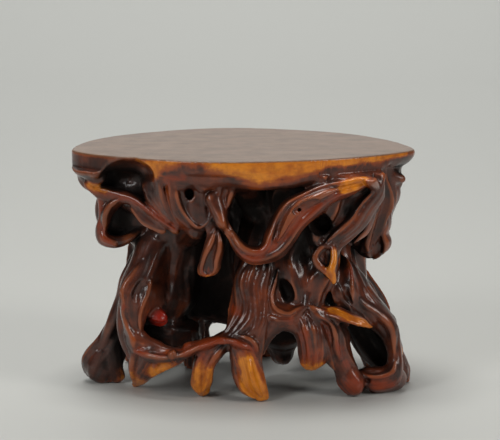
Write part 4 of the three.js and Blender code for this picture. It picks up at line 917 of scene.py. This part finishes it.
def sampled(values, low, cell, points):
    """A field between its cells, by trilinear mixing of the eight cells round each point."""
    place = np.clip((points - low) / cell, 0, np.array(values.shape) - 1.001)
    base = place.astype(int)
    part = place - base
    result = np.zeros(len(points))
    for corner in range(8):
        step = np.array([corner & 1, corner >> 1 & 1, corner >> 2 & 1])
        share = np.prod(np.where(step, part, 1 - part), axis=1)
        x, y, z = (base + step).T
        result += share * values[x, y, z]
    return result


def unit(vectors):
    """Vectors of length 1, and 0 where there was no length."""
    return vectors / np.maximum(np.linalg.norm(vectors, axis=1), 1e-9)[:, None]


class Net:
    """The surfaces of the body and of the joints inside it, as one net of four-sided faces.

    A vertex lies in each cube of cells that holds more than one label, at the mean of the points where the
    cube's edges cross the skin. A face crosses each edge between two labels, once for the piece on each side,
    so that neighbouring pieces share their joint exactly.
    """

    def __init__(self, field):
        self.field = field
        labels = np.where(field.value < 0, field.label, 0).astype(np.int8)
        ends = [(slice(0, -1), slice(1, None))] * 3
        corners = [labels[x, y, z] for x in ends[0] for y in ends[1] for z in ends[2]]
        active = np.minimum.reduce(corners) != np.maximum.reduce(corners)
        cubes = np.stack(np.nonzero(active), 1)
        ids = np.full(active.shape, -1, np.int64)
        ids[active] = np.arange(len(cubes))
        self.points = self.placed(labels, cubes)
        self.faces, self.owner, self.outer = self.quads(labels, ids)
        self.relax(SMOOTHING)
        self.normals = self.vertex_normals()

    def placed(self, labels, cubes):
        """Vertex places: the mean crossing of the skin, or of the joint where no skin is in the cube."""
        value = self.field.value
        skin, skins = np.zeros((len(cubes), 3)), np.zeros(len(cubes))
        joint, joints = np.zeros((len(cubes), 3)), np.zeros(len(cubes))
        for axis in range(3):
            for side in range(4):
                start = np.zeros(3, int)
                start[(axis + 1) % 3], start[(axis + 2) % 3] = side & 1, side >> 1
                step = np.eye(3, dtype=int)[axis]
                low, high = tuple((cubes + start).T), tuple((cubes + start + step).T)
                at_low, at_high = value[low], value[high]
                crosses = (at_low < 0) != (at_high < 0)
                change = np.where(crosses, at_low - at_high, 1)
                place = start + step * np.where(crosses, at_low / change, 0)[:, None]
                skin += place * crosses[:, None]
                skins += crosses
                differs = labels[low] != labels[high]
                joint += (start + 0.5 * step) * differs[:, None]
                joints += differs
        on_skin = skin / np.maximum(skins, 1)[:, None]
        on_joint = joint / np.maximum(joints, 1)[:, None]
        local = np.where((skins > 0)[:, None], on_skin, on_joint)
        return self.field.LOW + self.field.cell * (cubes + local)

    def quads(self, labels, ids):
        """Faces of every piece, the label of each, and whether it is on the outer skin."""
        faces, owners, outers = [], [], []
        for axis in range(3):
            one, two = (axis + 1) % 3, (axis + 2) % 3
            low, high = [slice(None)] * 3, [slice(None)] * 3
            low[axis], high[axis] = slice(0, -1), slice(1, None)
            before, after = labels[tuple(low)], labels[tuple(high)]
            edge = np.stack(np.nonzero(before != after), 1)
            before, after = before[tuple(edge.T)], after[tuple(edge.T)]
            ring = []
            for a, b in ((0, 0), (1, 0), (1, 1), (0, 1)):
                cube = edge.copy()
                cube[:, one] -= a
                cube[:, two] -= b
                ring.append(ids[tuple(cube.T)])
            quad = np.stack(ring, 1)[:, ::-1]
            skin = (before == 0) | (after == 0)
            for owner, turned in ((before, quad[:, ::-1]), (after, quad)):
                held = owner > 0
                faces.append(turned[held])
                owners.append(owner[held])
                outers.append(skin[held])
        return np.vstack(faces), np.concatenate(owners), np.concatenate(outers)

    def relax(self, rounds):
        """Moves each skin vertex half way to the mean of its neighbours, without leaving the flat faces."""
        faces = self.faces[self.outer]
        start = faces.ravel()
        stop = np.roll(faces, -1, axis=1).ravel()
        count = len(self.points)
        neighbours = np.bincount(start, minlength=count) + np.bincount(stop, minlength=count)
        shown = neighbours > 0
        flat = (self.points[:, 2] > TOP - ON_FACE) | (self.points[:, 2] < ON_FACE)
        for _ in range(rounds):
            for axis in range(3):
                values = self.points[:, axis]
                total = np.bincount(start, values[stop], count) + np.bincount(stop, values[start], count)
                moved = shown & ~(flat & (axis == 2))
                values[moved] += 0.5 * (total[moved] / neighbours[moved] - values[moved])
        self.points[:, 2] = np.clip(self.points[:, 2], 0, TOP)

    def vertex_normals(self):
        """Outward directions of the skin, the mean of the faces round each vertex by their areas."""
        faces = self.faces[self.outer]
        a, b, c, d = (self.points[faces[:, k]] for k in range(4))
        normal = np.cross(c - a, d - b)
        count = len(self.points)

        def gathered(values):
            return sum(np.bincount(faces[:, k], values, count) for k in range(4))

        return unit(np.stack([gathered(normal[:, axis]) for axis in range(3)], 1))


def lattice(places, seed):
    """Smooth random values from -1 to 1, one for each lattice corner, mixed in between by 3t^2 - 2t^3."""
    primes, scatter, levels = np.array([73856093, 19349663, 83492791]), 1274126177, 65536
    count = places.shape[1]
    base = np.floor(places).astype(np.int64)
    part = places - base
    part = part * part * (3 - 2 * part)
    result = np.zeros(len(places))
    for corner in range(2**count):
        step = np.array([corner >> k & 1 for k in range(count)])
        share = np.prod(np.where(step, part, 1 - part), axis=1)
        key = ((base + step) * primes[:count]).sum(1) + seed * 1013
        key = (key ^ (key >> 13)) * scatter & 0x7FFFFFFF
        result += share * ((key ^ (key >> 16)) % levels / (levels / 2 - 0.5) - 1)
    return result


class Carving:
    """The finished net, with the grain, the worn edges, the deep places that are painted in shade and the
    strokes at each vertex.
    """

    # Reach within which an edge counts as sharp enough to be rubbed, in millimetres
    WEAR_REACH = 1.1
    # Rays that feel how hidden the skin is: their number, start above the skin, and the distances they test
    RAYS = 40
    RAY_LIFT = 1.2
    RAY_TESTS = np.geomspace(1.5, 45, 14)
    # Furrows along the grain: deepest in all, then width, length and share of each kind, in millimetres
    FURROW = 0.35
    FINE, BROAD = (1.7, 16, 0.5), (3.4, 26, 0.9)
    LUMP_WIDTH, LUMP_HEIGHT = 7.0, 0.18
    # They fade over this height towards the board, where a trace is left, and over this one above the floor.
    FADE_UNDER_BOARD, TRACE, FADE_ON_FLOOR = 8, 0.12, 3

    def __init__(self, cell):
        self.field = Field(cell)
        for number, stem in enumerate(STEMS.values()):
            for root in stem:
                if root.hollow:
                    self.field.cut(root)
                else:
                    self.field.join(root, number + 1)
        self.names = [*STEMS, "top_board"]
        self.field.limit(len(self.names))
        self.net = Net(self.field)
        solid = np.clip(0.5 - self.field.value / cell, 0, 1).astype(np.float32)
        self.grain = self.grained()
        self.layers = {
            "wear": self.wood_round(solid),
            # occlusion of the sky, which paints shade into the hollows
            "cavity": self.hidden(solid > 0.5),
            "amber": self.strokes(AMBER),
            "red": self.strokes(RED),
            "glow": self.strokes(GLOW),
            # black painted shade where the light never reaches
            "shade_strokes": self.strokes(SHADE_STROKES),
        }
        self.carve()

    def wood_round(self, solid):
        """How much of the space round each vertex is wood: half of it on a flat face, less on an edge."""
        soft = blurred(solid, max(1, int(round(self.WEAR_REACH / self.field.cell))))
        return sampled(soft, self.field.LOW, self.field.cell, self.net.points)

    def hidden(self, solid):
        """How much of the sky over the skin is hidden: the share of rays from a vertex that meet wood soon.

        The rays leave at even steps over a ball, each weighted by the cosine of its angle to the normal.
        """
        shown = np.linalg.norm(self.net.normals, axis=1) > 0.5
        points, normals = self.net.points[shown], self.net.normals[shown]
        start = (points + self.RAY_LIFT * normals - self.field.LOW) / self.field.cell
        blocked, total = np.zeros(len(points)), np.zeros(len(points))
        limit = self.field.shape - 1
        for number in range(self.RAYS):
            height = 1 - (2 * number + 1) / self.RAYS
            turn = number * math.pi * (3 - math.sqrt(5))
            level = math.sqrt(1 - height * height)
            ray = np.array([level * math.cos(turn), level * math.sin(turn), height])
            weight = np.maximum(normals @ ray, 0)
            index = np.nonzero(weight > 0.05)[0]
            open_way = np.ones(len(index), bool)
            for reach in self.RAY_TESTS:
                cells = np.clip(np.rint(start[index] + ray * (reach / self.field.cell)), 0, limit).astype(int)
                open_way &= ~solid[cells[:, 0], cells[:, 1], cells[:, 2]]
            blocked[index] += weight[index] * ~open_way
            total += weight
        result = np.zeros(len(self.net.points))
        result[shown] = blocked / total
        return result

    def grained(self):
        """The way round and the way along the nearest root, in millimetres, and a number for the root."""
        places = warped(self.net.points)
        best = np.full(len(places), np.inf)
        grain = np.zeros((len(places), 3))
        room = 8
        roots = [root for stem in STEMS.values() for root in stem if not root.hollow]
        for number, root in enumerate(roots):
            reach = root.radius.max() + room
            low, high = root.centre.min(0) - reach, root.centre.max(0) + reach
            index = np.nonzero(((places > low) & (places < high)).all(1))[0]
            near = places[index]
            distance = root.distance(near)
            closer = distance < best[index]
            index, near = index[closer], near[closer]
            best[index] = distance[closer]
            place, across, out, _, radius = root.follow(near)
            grain[index] = np.stack([np.arctan2(across, out) * radius, place, np.full(len(place), number)], 1)
        return grain

    def strokes(self, strokes):
        """The strongest of soft strokes, each exp(-(distance from its line / radius there)^2)."""
        points = self.net.points
        strongest = np.zeros(len(points))
        for stroke in strokes:
            stroke = np.array([*stroke, stroke[-1]] if len(stroke) == 1 else stroke, float)
            for start, stop in zip(stroke[:-1], stroke[1:]):
                first, step = start[:3] * STRETCH, (stop - start)[:3] * STRETCH
                share = np.clip((points - first) @ step / max(step @ step, 1e-9), 0, 1)
                away = ((points - first - share[:, None] * step) ** 2).sum(1)
                radius = start[3] + share * (stop[3] - start[3])
                strongest = np.maximum(strongest, np.exp(-away / radius**2))
        return strongest

    def furrows(self, width, length, seed, step):
        """Smooth random heights that are drawn out along the grain, different on each root."""
        around, along, root = self.grain.T
        return lattice(np.stack([around / width + root * step, along / length], 1), seed)

    def carve(self):
        """Moves the skin in and out by furrows along the grain and by lumps, less so on the board."""
        points, normals = self.net.points, self.net.normals
        shown = np.linalg.norm(normals, axis=1) > 0.5
        (fine, fine_length, fine_share), (broad, broad_length, broad_share) = self.FINE, self.BROAD
        ridges = self.furrows(fine, fine_length, 3, 5.1)
        waves = self.furrows(broad, broad_length, 8, 3.7)
        lumps = lattice(points / self.LUMP_WIDTH, 5)
        depth = self.FURROW * (fine_share * ridges + broad_share * waves) + self.LUMP_HEIGHT * lumps
        fade = np.clip((UNDERSIDE - points[:, 2]) / self.FADE_UNDER_BOARD, self.TRACE, 1)
        fade *= np.clip(points[:, 2] / self.FADE_ON_FLOOR, 0, 1)
        moved = points + normals * np.where(shown, depth * fade, 0)[:, None]
        moved[:, 2] = np.clip(moved[:, 2], 0, TOP)
        flat = points[:, 2] > TOP - ON_FACE
        moved[flat] = points[flat]
        low, high = np.array(CAD_BOX) / MM
        self.net.points = np.clip(moved, low, high)
        self.net.normals = self.net.vertex_normals()


@functools.lru_cache(maxsize=1)
def carving(cell):
    """The carving is worked out once and shared by the pieces."""
    return Carving(cell)


def piece_mesh(name, net, mine):
    """A mesh of the faces that belong to one piece, smooth on the skin and flat in the joints.

    Returns it with the numbers of the net's vertices that it uses.
    """
    faces, outer = net.faces[mine], net.outer[mine]
    used, local = np.unique(faces, return_inverse=True)
    mesh = bpy.data.meshes.new(name)
    mesh.vertices.add(len(used))
    mesh.vertices.foreach_set("co", (net.points[used] * MM).astype(np.float32).ravel())
    mesh.loops.add(local.size)
    mesh.loops.foreach_set("vertex_index", local.ravel().astype(np.int32))
    mesh.polygons.add(len(faces))
    mesh.polygons.foreach_set("loop_start", np.arange(0, local.size, 4, dtype=np.int32))
    mesh.polygons.foreach_set("use_smooth", np.ones(len(faces), bool))
    mesh.update(calc_edges=True)
    a, b, c, d = (net.points[faces[:, k]] for k in range(4))
    own = unit(np.cross(c - a, d - b))
    normals = np.where(outer[:, None, None], net.normals[faces], own[:, None, :])
    mesh.normals_split_custom_set(normals.reshape(-1, 3))
    return mesh, used


def add_piece(name, cell, material):
    """One piece of the carving as a mesh of its own, in the place of its CAD node."""
    shape = carving(cell)
    mesh, used = piece_mesh("carved_" + name, shape.net, shape.net.owner == shape.names.index(name) + 1)
    for label, values in shape.layers.items():
        layer = mesh.attributes.new(label, "FLOAT", "POINT")
        layer.data.foreach_set("value", values[used].astype(np.float32))
    layer = mesh.attributes.new("grain", "FLOAT_VECTOR", "POINT")
    layer.data.foreach_set("vector", shape.grain[used].astype(np.float32).ravel())
    mesh.materials.append(material)
    piece = bpy.data.objects.new("carved_" + name, mesh)
    bpy.context.scene.collection.objects.link(piece)
    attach(piece, "root")
    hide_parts(name)
    return piece


class Value:
    """A socket of a shader node that can be used in sums, so that a + b adds an Add node."""

    def __init__(self, nodes, socket):
        self.nodes, self.socket = nodes, socket

    def math(self, operation, first, second):
        """Adds a node for a sum of two values or sockets."""
        return self.nodes.node("ShaderNodeMath", {"operation": operation}, {0: first, 1: second})

    def __add__(self, other):
        return self.math("ADD", self, other)

    def __sub__(self, other):
        return self.math("SUBTRACT", self, other)

    def __rsub__(self, other):
        return self.math("SUBTRACT", other, self)

    def __mul__(self, other):
        return self.math("MULTIPLY", self, other)

    __radd__ = __add__
    __rmul__ = __mul__

    def rise(self, low, high):
        """0 up to low and 1 from high on, smooth in between."""
        inputs = {"Value": self, "From Min": low, "From Max": high}
        return self.nodes.node("ShaderNodeMapRange", {"interpolation_type": "SMOOTHSTEP"}, inputs)


class Nodes:
    """The node tree of one material."""

    def __init__(self, name):
        self.material = bpy.data.materials.new(name)
        self.material.use_nodes = True
        self.tree = self.material.node_tree
        self.tree.nodes.clear()

    def node(self, kind, settings, inputs, output=0):
        """Adds a node with its settings and the values or links of its sockets, and returns one output."""
        made = self.tree.nodes.new(kind)
        for key, value in settings.items():
            setattr(made, key, value)
        for key, value in inputs.items():
            socket = made.inputs[key]
            if isinstance(value, Value):
                self.tree.links.new(value.socket, socket)
            elif socket.type == "RGBA":
                socket.default_value = (*value, 1.0)
            else:
                socket.default_value = value
        return Value(self, made.outputs[output]) if made.outputs else None

    def attribute(self, name, output="Fac"):
        """The values of a layer of the mesh."""
        return self.node("ShaderNodeAttribute", {"attribute_name": name}, {}, output)

    def place(self):
        """The place in the object, in metres."""
        return self.node("ShaderNodeTexCoord", {}, {}, "Object")

    def mix(self, share, first, second):
        """Mixes two colours by a share."""
        return self.node("ShaderNodeMix", {"data_type": "RGBA"}, {0: share, 6: first, 7: second}, 2)

    def noise(self, vector, scale, detail=3.0, rough=0.5, distortion=0.0):
        """Clouded values from 0 to 1."""
        inputs = {
            "Vector": vector, "Scale": scale, "Detail": detail, "Roughness": rough, "Distortion": distortion,
        }
        return self.node("ShaderNodeTexNoise", {}, inputs)

    def scaled(self, vector, factors):
        """A place with each of its axes stretched by a factor of its own."""
        return self.node("ShaderNodeVectorMath", {"operation": "MULTIPLY"}, {0: vector, 1: factors})

    def bump(self, height, strength, distance):
        """A skin that looks raised by a height times a distance in metres."""
        inputs = {"Strength": strength, "Distance": distance, "Height": height}
        return self.node("ShaderNodeBump", {}, inputs)

    def finished(self, inputs):
        """Ends the tree with a surface shader that has these inputs, and returns the material."""
        shader = self.node("ShaderNodeBsdfPrincipled", {}, inputs)
        self.node("ShaderNodeOutputMaterial", {}, {"Surface": shader})
        return self.material


class LacquerNodes(Nodes):
    """The patterns that the lacquer is worked out from, and the layers that they make.

    Fibres and streaks follow the grain of the roots. Clouds, mottle and specks fill the space.
    """

    def __init__(self, name):
        super().__init__(name)
        self.object_place = self.place()
        grain = self.attribute("grain", "Vector")
        self.wear, self.cavity, self.amber, self.red, self.glow, self.shade_strokes = (
            self.attribute(label) for label in ("wear", "cavity", "amber", "red", "glow", "shade_strokes")
        )
        self.fibres = self.noise(self.scaled(grain, (0.9, 0.07, 1.0)), 1.0, 4.0, 0.6)
        self.streaks = self.noise(self.scaled(grain, (0.32, 0.03, 1.0)), 1.0, 3.0, 0.55)
        self.cloud = self.noise(self.object_place, 95.0, 4.0, 0.6)
        self.mottle = self.noise(self.object_place, 170.0, 3.0, 0.55)
        self.speck = self.noise(self.object_place, 900.0, 2.0, 0.6)
        self.edge = (0.5 - self.wear).rise(0.02, 0.17)
        # the mask of black painted shade: strong occlusion and the shade strokes
        self.deep = (self.cavity + self.shade_strokes * 0.45).rise(0.38, 0.72)

    def ground(self, finish):
        """Dark red-brown lacquer, paler on worn edges, with its red ground showing on crests and feet."""
        thin = (self.streaks * 0.5 + self.cloud * 0.75).rise(0.45, 0.82)
        tone = self.mix(thin, finish.dark_colour, finish.red_colour)
        tone = self.mix(self.fibres.rise(0.5, 0.72) * 0.35, tone, finish.dark_colour)
        rubbed = (self.edge * (self.streaks + self.cloud)).rise(0.25, 1.1)
        tone = self.mix(rubbed * 0.6, tone, finish.worn_colour)
        broken = (self.cloud - 0.5) * 2.2 + (self.fibres - 0.5) * 1.6
        warm = self.glow + self.edge * self.glow * 0.6 + broken
        return self.mix(warm.rise(0.4, 1.25) * 0.9, tone, finish.glow_colour)

    def worn_through(self, tone, finish):
        """Adds the wood that shows through the lacquer, with an orange rim, and says where it shows."""
        broken = (self.cloud - 0.5) * 1.8 + (self.streaks - 0.5) * 1.2
        thin = self.amber * 1.3 + self.edge * self.amber * 0.5 + broken
        through = thin.rise(0.55, 0.95)
        pale = (self.fibres * 0.6 + self.cloud * 0.5).rise(0.35, 0.75)
        stained = (self.mottle * 0.8 + self.fibres * 0.35).rise(0.5, 0.78)
        honey = self.mix(pale, finish.amber_colour, finish.gold_colour)
        honey = self.mix(stained * 0.8, honey, finish.orange_colour)
        tone = self.mix(thin.rise(0.2, 0.6), tone, finish.orange_colour)
        return self.mix(through, tone, honey), through

    def paint_shade(self, tone, finish):
        """Paints shade: lets the tone sink to black in the hollows, by their occlusion, and under the shade
        strokes, where the light never reaches.
        """
        for share in (self.cavity.rise(0.05, 0.5) * 0.5, self.shade_strokes * 0.7, self.deep * 0.95):
            tone = self.mix(share, tone, finish.shade_and_speck_colour)
        return tone

    def board_face(self, finish):
        """The board's upper face: broad rings of growth and fine specks under a worn gloss."""
        rings = self.noise(self.scaled(self.object_place, (1.0, 4.0, 1.0)), 45.0, 5.0, 0.65, 0.4)
        growth = (rings * 0.6 + self.cloud * 0.5).rise(0.4, 0.75)
        face = self.mix(growth * 0.45, finish.face_colour, finish.dark_colour)
        return self.mix(self.speck.rise(0.62, 0.75) * 0.4, face, finish.shade_and_speck_colour)

    def on_top(self):
        """1 on the board's upper face and 0 from a millimetre under it."""
        height = self.node("ShaderNodeSeparateXYZ", {}, {0: self.object_place}, 2)
        return height.rise(TOP * MM - 0.9 * MM, TOP * MM - 0.2 * MM)


def lacquer(finish, flat_top):
    """Dark lacquer over yellow wood: black painted shade in deep places, red-brown on the roots, amber where
    it is worn.
    """
    nodes = LacquerNodes("board lacquer" if flat_top else "root lacquer")
    tone, through = nodes.worn_through(nodes.ground(finish), finish)
    tone = nodes.paint_shade(tone, finish)
    tone = nodes.mix(nodes.red.rise(0.3, 0.8), tone, finish.knob_colour)
    gloss, strength = 0.9, 0.5
    if flat_top:
        on_top = nodes.on_top()
        tone = nodes.mix(on_top, tone, nodes.board_face(finish))
        gloss, strength = (1 - on_top * 0.4) * 0.9, 0.25
    height = nodes.fibres * 0.55 + nodes.streaks * 0.6 + nodes.speck * 0.08
    return nodes.finished({
        "Base Color": tone,
        "Roughness": 0.35 + nodes.cloud * 0.12 + nodes.deep * 0.2 + through * 0.08,
        "Normal": nodes.bump(height, strength, 0.4 * MM),
        "Specular IOR Level": 0.2,
        "Coat IOR": 1.45,
        "Coat Weight": gloss * (1 - nodes.deep),
        "Coat Roughness": finish.coat_roughness,
    })


def peg_wood(finish):
    """Pale turned wood for the pegs, with fine fibres along them."""
    nodes = Nodes("peg wood")
    fibres = nodes.noise(nodes.scaled(nodes.place(), (1.0, 1.0, 0.12)), 1800.0, 3.0, 0.6)
    return nodes.finished({
        "Base Color": nodes.mix(fibres.rise(0.35, 0.7), finish.peg_colour, finish.gold_colour),
        "Roughness": 0.55 + fibres * 0.2,
        "Normal": nodes.bump(fibres, 0.2, 0.1 * MM),
    })


def paper(name, colour, roughness):
    """The plain floor and backdrop."""
    return Nodes(name).finished({"Base Color": colour, "Roughness": roughness})


def soft_light(name, place, target, size, watts, colour):
    """A rectangular soft light that faces a place."""
    data = bpy.data.lights.new(name, "AREA")
    data.shape, data.size, data.size_y = "RECTANGLE", *size
    data.energy, data.color = watts, colour
    lamp = bpy.data.objects.new(name, data)
    bpy.context.scene.collection.objects.link(lamp)
    lamp.location = place
    lamp.rotation_euler = (Vector(target) - Vector(place)).to_track_quat("-Z", "Y").to_euler()
    return lamp


def backdrop():
    """A floor that sweeps up into a wall: flat, then a quarter circle, then upright, carried along X."""
    bend, wide, high = 0.9, 4.0, 3.5
    turn = np.linspace(0, math.pi / 2, 25)
    floor = np.linspace(-1.0, 1.0, 9)
    y = np.r_[-3.0, floor, 1.2 + bend * np.sin(turn), 1.2 + bend]
    z = np.r_[0.0, 0 * floor, bend * (1 - np.cos(turn)), high]
    x = np.array([-wide, wide])
    points = np.stack([np.repeat(x, len(y)), np.tile(y, 2), np.tile(z, 2)], 1)
    first = np.arange(len(y) - 1)
    faces = np.stack([first, first + len(y), first + len(y) + 1, first + 1], 1)
    mesh = bpy.data.meshes.new("sweep")
    mesh.from_pydata(points.tolist(), [], faces.tolist())
    mesh.polygons.foreach_set("use_smooth", np.ones(len(faces), bool))
    sweep = bpy.data.objects.new("sweep", mesh)
    bpy.context.scene.collection.objects.link(sweep)
    return sweep


def colour_setting(name, description, default):
    """A colour that the sidebar shows."""
    return FloatVectorProperty(
        name=name, description=description, default=default, size=3, min=0, max=1, subtype="COLOR"
    )


class StandShape(bpy.types.PropertyGroup):
    """Sizes of the carving."""

    cell: FloatProperty(
        name="Cell", description="Width of the smallest detail of the carving, in millimetres",
        default=0.6, min=0.4, max=2,
    )
    quick_cell: FloatProperty(
        name="Quick cell", description="The same for a quick look, in millimetres",
        default=1.0, min=0.4, max=2,
    )


class StandFinish(bpy.types.PropertyGroup):
    """Colours of the lacquer and of the wood under it."""

    dark_colour: colour_setting("Dark", "Lacquer on the body of a root", (0.034, 0.010, 0.006))
    red_colour: colour_setting("Red", "Lacquer where it is thin", (0.17, 0.034, 0.011))
    worn_colour: colour_setting("Worn", "Lacquer on the edges that hands touch", (0.40, 0.10, 0.028))
    glow_colour: colour_setting("Glow", "Red ground that shows on crests and feet", (0.25, 0.031, 0.004))
    orange_colour: colour_setting("Orange", "Lacquer round the worn places", (0.30, 0.055, 0.004))
    amber_colour: colour_setting("Amber", "Wood that shows through", (0.52, 0.12, 0.002))
    gold_colour: colour_setting("Gold", "The palest wood that shows through", (0.85, 0.29, 0.012))
    knob_colour: colour_setting("Knob", "The red knob on the left leg", (0.32, 0.012, 0.002))
    # Black of the painted shade in the hollows and under the shade strokes, and of the specks on the board's
    # face
    shade_and_speck_colour: colour_setting("Black", "The deep places", (0.006, 0.003, 0.002))
    face_colour: colour_setting("Face", "The board's upper face", (0.19, 0.10, 0.055))
    peg_colour: colour_setting("Peg", "The pegs", (0.45, 0.27, 0.12))
    coat_roughness: FloatProperty(
        name="Coat roughness", description="How soft the gloss is",
        default=0.2, min=0, max=1, subtype="FACTOR",
    )


class StandStage(bpy.types.PropertyGroup):
    """The floor, the camera and the lights."""

    floor_colour: colour_setting("Floor", "The floor and the backdrop", (0.50, 0.505, 0.48))
    camera_place: FloatVectorProperty(
        name="Camera", description="Where the camera stands",
        default=(0.0029, -1.0, 0.2387), size=3, subtype="TRANSLATION",
    )
    camera_tilt: FloatProperty(
        name="Tilt", description="How far the camera looks up from straight down",
        default=math.radians(80.517), subtype="ANGLE",
    )
    camera_lens: FloatProperty(
        name="Lens", description="Focal length of the camera",
        default=163.2, min=10, subtype="DISTANCE_CAMERA",
    )
    light: FloatProperty(name="Light", description="Strength of all lights", default=1.0, min=0)


class CarvePieces:
    """What the carving operators share: the pieces they make, in the lacquer of the board or of the roots."""

    bl_options = {"REGISTER", "UNDO"}
    pieces = ()

    def execute(self, context):
        shape = context.scene.stand_shape
        material = lacquer_of(context.scene.stand_finish, "top_board" in self.pieces)
        for name in self.pieces:
            add_piece(name, shape.cell, material)
        return {"FINISHED"}


def lacquer_of(finish, flat_top):
    """The lacquer material, made once for the board and once for the roots."""
    name = "board lacquer" if flat_top else "root lacquer"
    return bpy.data.materials.get(name) or lacquer(finish, flat_top)


class STAND_OT_carve_board(CarvePieces, bpy.types.Operator):
    """Carve the flat board with its worn rim"""

    bl_idname = "stand.carve_board"
    bl_label = "Carve Board"
    pieces = ("top_board",)


class STAND_OT_carve_front(CarvePieces, bpy.types.Operator):
    """Carve the stems that carry the front of the board"""

    bl_idname = "stand.carve_front"
    bl_label = "Carve Front Stems"
    pieces = ("centre_leg", "right_front_leg", "ring_leg", "left_front_leg", "stretcher_root")


class STAND_OT_carve_crown(CarvePieces, bpy.types.Operator):
    """Carve the roots that hang under the front of the rim"""

    bl_idname = "stand.carve_crown"
    bl_label = "Carve Hanging Roots"
    pieces = (
        "left_shoulder_root", "left_ear_root", "front_left_root", "front_right_root", "swag_root",
        "right_drape_root", "hook_root",
    )


class STAND_OT_carve_back(CarvePieces, bpy.types.Operator):
    """Carve the stems and roots of the back"""

    bl_idname = "stand.carve_back"
    bl_label = "Carve Back Stems"
    pieces = (
        "left_rear_leg", "inner_stump", "rear_centre_leg", "rear_left_leg", "rear_right_leg",
        "rear_stretcher_root", "rear_swag_root", "rear_drape_root",
    )


class STAND_OT_finish_pegs(bpy.types.Operator):
    """Give the pegs and pins inside the joints their plain wood"""

    bl_idname = "stand.finish_pegs"
    bl_label = "Finish Pegs"
    bl_options = {"REGISTER", "UNDO"}

    def execute(self, context):
        wood = peg_wood(context.scene.stand_finish)
        pegs = [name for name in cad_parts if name.startswith(("peg_", "pin_"))]
        if not pegs:
            raise RuntimeError("the frame has no pegs")
        for name in pegs:
            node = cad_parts[name]
            node.data.materials.clear()
            node.data.materials.append(wood)
        return {"FINISHED"}


class STAND_OT_set_stage(bpy.types.Operator):
    """Set the floor, the soft lights and the camera"""

    bl_idname = "stand.set_stage"
    bl_label = "Set Stage"
    bl_options = {"REGISTER", "UNDO"}

    def execute(self, context):
        scene, stage = context.scene, context.scene.stand_stage
        sweep = backdrop()
        sweep.data.materials.append(paper("floor paper", tuple(stage.floor_colour), 0.6))
        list(self.lights(stage.light))
        world = bpy.data.worlds.new("room")
        scene.world = world
        world.use_nodes = True
        background = world.node_tree.nodes["Background"]
        background.inputs["Color"].default_value = (0.9, 0.93, 0.95, 1)
        background.inputs["Strength"].default_value = 0.07 * stage.light
        camera = bpy.data.objects.new("camera", bpy.data.cameras.new("camera"))
        scene.collection.objects.link(camera)
        camera.location = stage.camera_place
        camera.rotation_euler = (stage.camera_tilt, 0, 0)
        camera.data.lens = stage.camera_lens
        camera.data.sensor_width = 36
        scene.camera = camera
        scene.view_settings.view_transform = "Standard"
        return {"FINISHED"}

    def lights(self, power):
        """A soft light above the stand, one on the backdrop and one box on each side."""
        middle, wall = (0, 0, 0.05), (0, 2.0, 0.2)
        return [
            soft_light("overhead", (-0.1, 0.05, 1.2), middle, (0.5, 0.5), 9 * power, (1, 0.99, 0.97)),
            soft_light("back_box", (0, 1.2, 1.5), wall, (1.6, 0.8), 19 * power, (1, 1, 1)),
            soft_light("left_box", (-0.75, -0.85, 0.65), middle, (0.35, 0.6), 5 * power, (1, 1, 1)),
            soft_light("right_box", (0.9, -0.65, 0.65), middle, (0.35, 0.6), 5 * power, (1, 0.98, 0.95)),
        ]


class STAND_PT_sidebar(bpy.types.Panel):
    """Lists the settings and the steps in their order"""

    bl_idname = "STAND_PT_sidebar"
    bl_label = "Root Stand"
    bl_space_type = "VIEW_3D"
    bl_region_type = "UI"
    bl_category = "Root Stand"

    def draw(self, context):
        for name in GROUPS:
            group = getattr(context.scene, name)
            box = self.layout.box()
            for key in group.__annotations__:
                box.prop(group, key)
        for operator in OPERATORS:
            self.layout.operator(operator.bl_idname)


OPERATORS = (
    STAND_OT_carve_board, STAND_OT_carve_front, STAND_OT_carve_crown, STAND_OT_carve_back,
    STAND_OT_finish_pegs, STAND_OT_set_stage,
)
GROUPS = {"stand_shape": StandShape, "stand_finish": StandFinish, "stand_stage": StandStage}


def register():
    for made in (*GROUPS.values(), *OPERATORS, STAND_PT_sidebar):
        bpy.utils.register_class(made)
    for name, group in GROUPS.items():
        setattr(bpy.types.Scene, name, PointerProperty(type=group))


def unregister():
    for name in GROUPS:
        delattr(bpy.types.Scene, name)
    for made in (STAND_PT_sidebar, *reversed(OPERATORS), *reversed(GROUPS.values())):
        bpy.utils.unregister_class(made)


def main():
    """Makes every piece and the stage."""
    register()
    bpy.ops.stand.carve_board()
    bpy.ops.stand.carve_front()
    bpy.ops.stand.carve_crown()
    bpy.ops.stand.carve_back()
    bpy.ops.stand.finish_pegs()
    bpy.ops.stand.set_stage()


if __name__ == "__main__":
    main()
